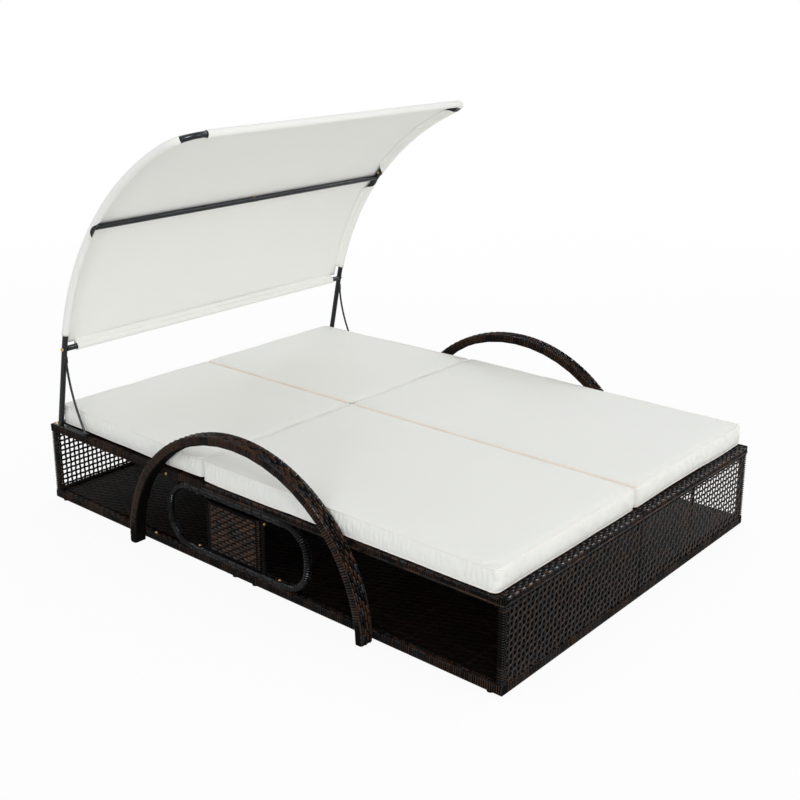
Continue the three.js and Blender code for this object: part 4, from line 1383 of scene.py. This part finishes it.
def addBolts():
    low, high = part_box("side_support_left")
    tube, rail, ring, arm, base = canopy["tube"], canopy["railX"], 0.694, 0.7066, 0.698
    ringTop = low.z + 2 * support["tube"] + bolts["ringLift"]
    ringUnder = high.z - 2 * support["tube"] - bolts["ringLift"]
    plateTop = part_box("canopy_post_left")[0].z + canopy["plateThickness"]
    above = archPoint(archAngle(canopy["midZ"] + bolts["aboveBar"]))
    # Outward X, Y, Z, the way it points and its size, for each side
    seats = {
        "canopyBolts": [
            (rail + tube, jointPoint.y, jointPoint.z, "out", 0.85),
            (rail - tube, above.y, above.z, "in", 0.6),
            (rail, 0.977, plateTop, "up", 0.75),
        ],
        "supportBolts": [
            (ring, 0.215, ringTop, "up", 0.6),
            (ring, -0.155, ringTop, "up", 0.6),
            (ring, 0.215, ringUnder, "down", 0.6),
            (ring, -0.0962, 0.222, "foot", 0.65),
        ],
        "armBolts": [
            (arm, 0.354, 0.270, "out", 0.6),
            (arm, -0.398, 0.270, "out", 0.6),
            (base, 0.436, 0.0318, "up", 0.65),
            (base, -0.480, 0.0318, "up", 0.65),
        ],
    }
    for name, rows in seats.items():
        pile = Pile()

        def addBolt(place, way, scale):
            turn = way.to_track_quat("Z", "Y").to_matrix().to_4x4()
            pile.add(boltMesh(scale), Matrix.Translation(place) @ turn)

        for sign in sides.values():
            out, up = Vector((sign, 0, 0)), Vector((0, 0, 1))
            ways = {"out": out, "in": -out, "up": up, "down": -up, "foot": Vector((0, -1, 0))}
            for x, y, z, way, scale in rows:
                addBolt(Vector((sign * x, y, z)), ways[way], scale)
        nodes = ()
        if name == "canopyBolts":
            plug = Vector((bolts["plugSide"], midPoint.y - 0.004, midPoint.z + 0.0095))
            addBolt(plug, Vector((0, -0.3, 1)), 0.5)
            nodes = ("canopy_joint_bolt_left", "canopy_joint_bolt_right")
        addPiece(name, pile.mesh(), "zinc", nodes, smooth=30)


addBolts()
print("bolts done")

cushions = {
    "height": 0.070,
    "floorGap": 0.0008,
    "voxel": 0.0075,
    "corner": 0.017,
    "rimBevel": 0.004,
    "pressure": 4.0,
    "slack": -0.018,
    "frames": 20,
    "topCap": 0.007,
    "sideCap": 0.0050,
    "seamCap": 0.0008,
    "sewnReach": 0.007,
    "piping": 0.0022,
    "pipingLevels": (-0.0008, 0.0024),
    "setIn": 0.0035,
    "seamIn": 0.0003,
    "backBulge": 0.020,
    "edgeSharp": 24,
    "edgeWave": 0.0050,
    "waveScale": 3.4,
    "waveRaise": 0.25,
    "topCalm": 0.6,
    "flutter": 0.0016,
    "flutterScale": 11,
    "gapLift": 0.006,
    "gapReach": 0.05,
    "crown": 0.003,
    "crownWander": 0.0022,
    "crownFrom": 0.55,
    "gather": 0.0042,
    "gatherPitch": 0.017,
    "gatherReach": 0.15,
    "gatherLeast": 0.22,
    "gatherMean": 0.55,
    "gatherWander": 2.4,
    "sideCalm": 0.2,
    "seamStep": 0.012,
}
clothSettings = {
    "quality": 4,
    "mass": 0.25,
    "tension_stiffness": 12,
    "compression_stiffness": 6,
    "shear_stiffness": 4,
    "bending_stiffness": 0.6,
    "use_pressure": True,
    "uniform_pressure_force": cushions["pressure"],
    "shrink_min": cushions["slack"],
    "shrink_max": cushions["slack"],
    "vertex_group_mass": "sewn",
    "pin_stiffness": 1.0,
}


def cushionStart(low, high):
    shape = cubeShape(low, high)
    posts = edgesAlong(shape, 2, (high.z - low.z) / 2)
    bevelEdges(shape, posts, cushions["corner"], 4)
    rims = [edge for edge in shape.edges if edgeSpan(edge, 2) < 1e-6 and edge.is_manifold]
    rims = [edge for edge in rims if abs(edge.calc_face_angle(0)) > 1]
    bevelEdges(shape, rims, cushions["rimBevel"], 2)
    return toMesh(shape)


def applyModifiers(piece):
    mesh = evaluatedMesh(piece)
    piece.modifiers.clear()
    piece.data = mesh


# Pressed out by air from inside, with the seams held where they are sewn
def inflate(piece, low, high, seams):
    mesh = piece.data
    start = np.array([vert.co for vert in mesh.vertices])
    sewn, reach = piece.vertex_groups.new(name="sewn"), cushions["sewnReach"]
    for index, (x, y, z) in enumerate(start):
        fromSide = min(x - low.x, high.x - x, y - low.y, high.y - y)
        if fromSide < reach and min(high.z - z, z - low.z) < reach:
            sewn.add([index], 1.0, "REPLACE")
        elif z < low.z + 0.002:
            sewn.add([index], 0.6, "REPLACE")
    cloth = piece.modifiers.new("cloth", "CLOTH")
    for key, value in clothSettings.items():
        setattr(cloth.settings, key, value)
    cloth.settings.effector_weights.gravity = 0
    cloth.point_cache.frame_start = 1
    cloth.point_cache.frame_end = cushions["frames"]
    scene = bpy.context.scene
    for number in range(1, cushions["frames"] + 1):
        scene.frame_set(number)
    moved = piece.evaluated_get(bpy.context.evaluated_depsgraph_get()).to_mesh()
    shift = np.array([vert.co for vert in moved.vertices]) - start
    piece.modifiers.clear()
    piece.vertex_groups.clear()
    scene.frame_set(1)
    shift[:, 2] = cushions["topCap"] * np.tanh(shift[:, 2] / cushions["topCap"])
    for axis, joins in enumerate(seams):
        middle = (low[axis] + high[axis]) / 2
        atSeam = (start[:, axis] - middle) * joins > 0
        cap = np.where(atSeam, cushions["seamCap"], cushions["sideCap"])
        shift[:, axis] = cap * np.tanh(shift[:, axis] / cap)
    mesh.vertices.foreach_set("co", (start + shift).astype(np.float32).ravel())
    mesh.update()
    print("cushion", piece.name, len(mesh.vertices), "moved", round(float(np.abs(shift).max()), 4))


# The cushion's own settling: edges that lift and wander, the back's side eased out at the gap
def settle(spot, low, high, kind, sign, seed):
    across = 2 * (spot.x - low.x) / (high.x - low.x) - 1
    along = (spot.y - low.y) / (high.y - low.y)
    up = (spot.z - low.z) / (high.z - low.z)
    fromGap = along if kind == "back" else 1 - along
    shift = Vector((0, 0, 0))
    if kind == "back":
        outside = max(0.0, across * sign)
        shift.x += sign * cushions["backBulge"] * outside**6 * max(0.0, 1 - along) ** 1.5
    edge = max(abs(across), abs(2 * along - 1)) ** cushions["edgeSharp"]
    wave, flutter = (
        noise.noise(Vector((spot.x * scale, spot.y * scale, place)))
        for scale, place in ((cushions["waveScale"], seed), (cushions["flutterScale"], seed + 3))
    )
    away = max(0.0, fromGap) * (high.y - low.y)
    lift = max(0.0, wave + cushions["waveRaise"]) * cushions["edgeWave"]
    lift += cushions["gapLift"] * math.exp(-away / cushions["gapReach"])
    shift.z += edge * lift * (1 - cushions["topCalm"] * up)
    shift.z += cushions["flutter"] * edge * flutter
    return shift


# Soft hollows on top, and gathers that run down the side walls from the seam
def handShape(mesh, low, high, kind, sign, seed):
    freeEnd = 1 if kind == "back" else -1
    for vert in mesh.vertices:
        spot = vert.co
        across = 2 * (spot.x - low.x) / (high.x - low.x) - 1
        along = 2 * (spot.y - low.y) / (high.y - low.y) - 1
        up = (spot.z - low.z) / (high.z - low.z)
        swell = noise.noise(Vector((spot.x * 4.5, spot.y * 3.5, seed)))
        move = settle(spot, low, high, kind, sign, seed)
        if up > cushions["crownFrom"]:
            inside = max(0.0, (1 - across**2) * (1 - along**2))
            spot.z += inside**0.5 * (cushions["crown"] + cushions["crownWander"] * swell)
        edge = 1 - min(1.0, min(1 - abs(across), 1 - abs(along)) * 30)
        if edge > 0:
            run = spot.x if abs(along) > abs(across) else spot.y
            fromSide = min(spot.x - low.x, high.x - spot.x) + cushions["sideCalm"]
            cornerGap = max(0.0, min(spot.y - low.y, high.y - spot.y, fromSide))
            bunch = cushions["gatherLeast"] + math.exp(-cornerGap / cushions["gatherReach"])
            bunch *= max(0.0, cushions["gatherMean"] + noise.noise(Vector((run * 9, seed, 2.0))))
            wander = cushions["gatherWander"] * noise.noise(Vector((run * 26, up * 1.6, seed)))
            fold = math.sin(run * 2 * math.pi / cushions["gatherPitch"] + wander)
            gather = fold * bunch * cushions["gather"] * edge * min(1, 4 * up * (1.3 - up))
            if across * sign > 0.97:
                spot.x += sign * gather
            if along * freeEnd > 0.98:
                spot.y += math.copysign(gather, along)
        spot += move


# The seam's way round the cushion, in short steps
def seamLoop(low, high, level):
    pairs = roundedLoop(low[:2], high[:2], cushions["corner"], 6)
    points = [Vector((x, y, level)) for x, y in pairs]
    dense = []
    for before, after in zip(points, points[1:]):
        count = max(1, round((after - before).length / cushions["seamStep"]))
        dense += [before.lerp(after, i / count) for i in range(count)]
    return dense


def makeCushion(kind, name, sign, seed):
    node, joint = f"{kind}_cushion_{name}", f"backrest_{name}_tilt"
    low, high = (Vector(corner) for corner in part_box(node))
    high.z = low.z + cushions["height"]
    low.z += cushions["floorGap"]
    # Which way along X and Y a neighbouring cushion lies
    seams = (-sign, 1 if kind == "seat" else -1)
    for axis, joins in enumerate(seams):
        low[axis] += cushions["seamIn"] if joins < 0 else cushions["setIn"]
        high[axis] -= cushions["seamIn"] if joins > 0 else cushions["setIn"]
    piece = addObject(f"{kind}Cushion_{name}", cushionStart(low, high))
    remesh = piece.modifiers.new("remesh", "REMESH")
    remesh.mode = "VOXEL"
    remesh.voxel_size = cushions["voxel"]
    applyModifiers(piece)
    inflate(piece, low, high, seams)
    finer = piece.modifiers.new("finer", "SUBSURF")
    finer.levels = 1
    finer.render_levels = 1
    applyModifiers(piece)
    handShape(piece.data, low, high, kind, sign, seed)
    dress(piece, "cushion", (node,), bodyOfNode[node], smooth=0)
    cords, radius = [], cushions["piping"]
    inset = Vector((radius, radius, 0)) * 0.95
    for level, shift in zip((high.z, low.z), cushions["pipingLevels"]):
        loop = seamLoop(low + inset, high - inset, level + shift)
        loop = [spot + settle(spot, low, high, kind, sign, seed) for spot in loop]
        cords.append(tubeMesh(loop, radius, 2, ring=True))
    body = bodyOfNode[node]
    piping = addPiece(f"{kind}Piping_{name}", joined(cords), "piping", (), body, smooth=0)
    for thing in (piece, piping):
        if kind == "back":
            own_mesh(thing)
        else:
            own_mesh(thing)


for index, (name, sign) in enumerate(sides.items()):
    makeCushion("seat", name, sign, 3.1 + index * 7)
    makeCushion("back", name, sign, 5.7 + index * 9)
print("cushions done")


# Plain pale floor and soft studio light
def buildStudio():
    white, scene = (1, 1, 1), bpy.context.scene
    scene.world = bpy.data.worlds.new("studioSky")
    scene.world.use_nodes = True
    sky = Nodes(scene.world.node_tree)
    light = sky.make("Background", {}, {"Color": studio["sky"], "Strength": studio["skyLevel"]})
    seen = sky.inSight(light, sky.make("Background", {}, {"Color": white}))
    sky.feed(sky.tree.nodes["World Output"].inputs["Surface"], seen)

    finish = Finish("paleFloor")
    finish.set(colour=studio["floorColour"], roughness=studio["floorRoughness"])
    away = finish.make("VectorMath", {"operation": "LENGTH"}, {0: finish.place()}, output="Value")
    share = finish.fade(away, studio["glowStart"], studio["glowEnd"], studio["floorGlow"])
    glow = finish.make("Emission", {}, {"Color": white})
    seen = finish.inSight(Wire(finish, finish.shader.outputs[0]), glow, share)
    finish.feed(finish.tree.nodes["Material Output"].inputs["Surface"], seen)
    shape = bmesh.new()
    bmesh.ops.create_grid(shape, x_segments=1, y_segments=1, size=studio["floorSize"] / 2)
    floor = addObject("floor", toMesh(shape))
    floor.data.materials.append(finish.material)

    aim = Vector(studio["aim"])
    for kind in ("lamps", "panels"):
        for name, (place, size, power, colour) in studio[kind].items():
            light = bpy.data.lights.new(name, "AREA")
            light.size = size
            light.energy = power
            light.color = colour
            lamp = addObject(name, light)
            lamp.location = place
            lamp.visible_camera = False
            lamp.visible_diffuse = kind == "lamps"
            lamp.rotation_euler = (aim - lamp.location).to_track_quat("-Z", "Y").to_euler()

    view = bpy.data.cameras.new("camera")
    view.sensor_width = camera["sensor"]
    view.lens = camera["lens"]
    view.shift_y = camera["shiftY"]
    eye = addObject("camera", view)
    eye.location = camera["place"]
    eye.rotation_euler = (math.radians(90 - camera["pitch"]), 0, -math.radians(camera["heading"]))
    scene.camera = eye
    scene.view_settings.view_transform = "Standard"


buildStudio()
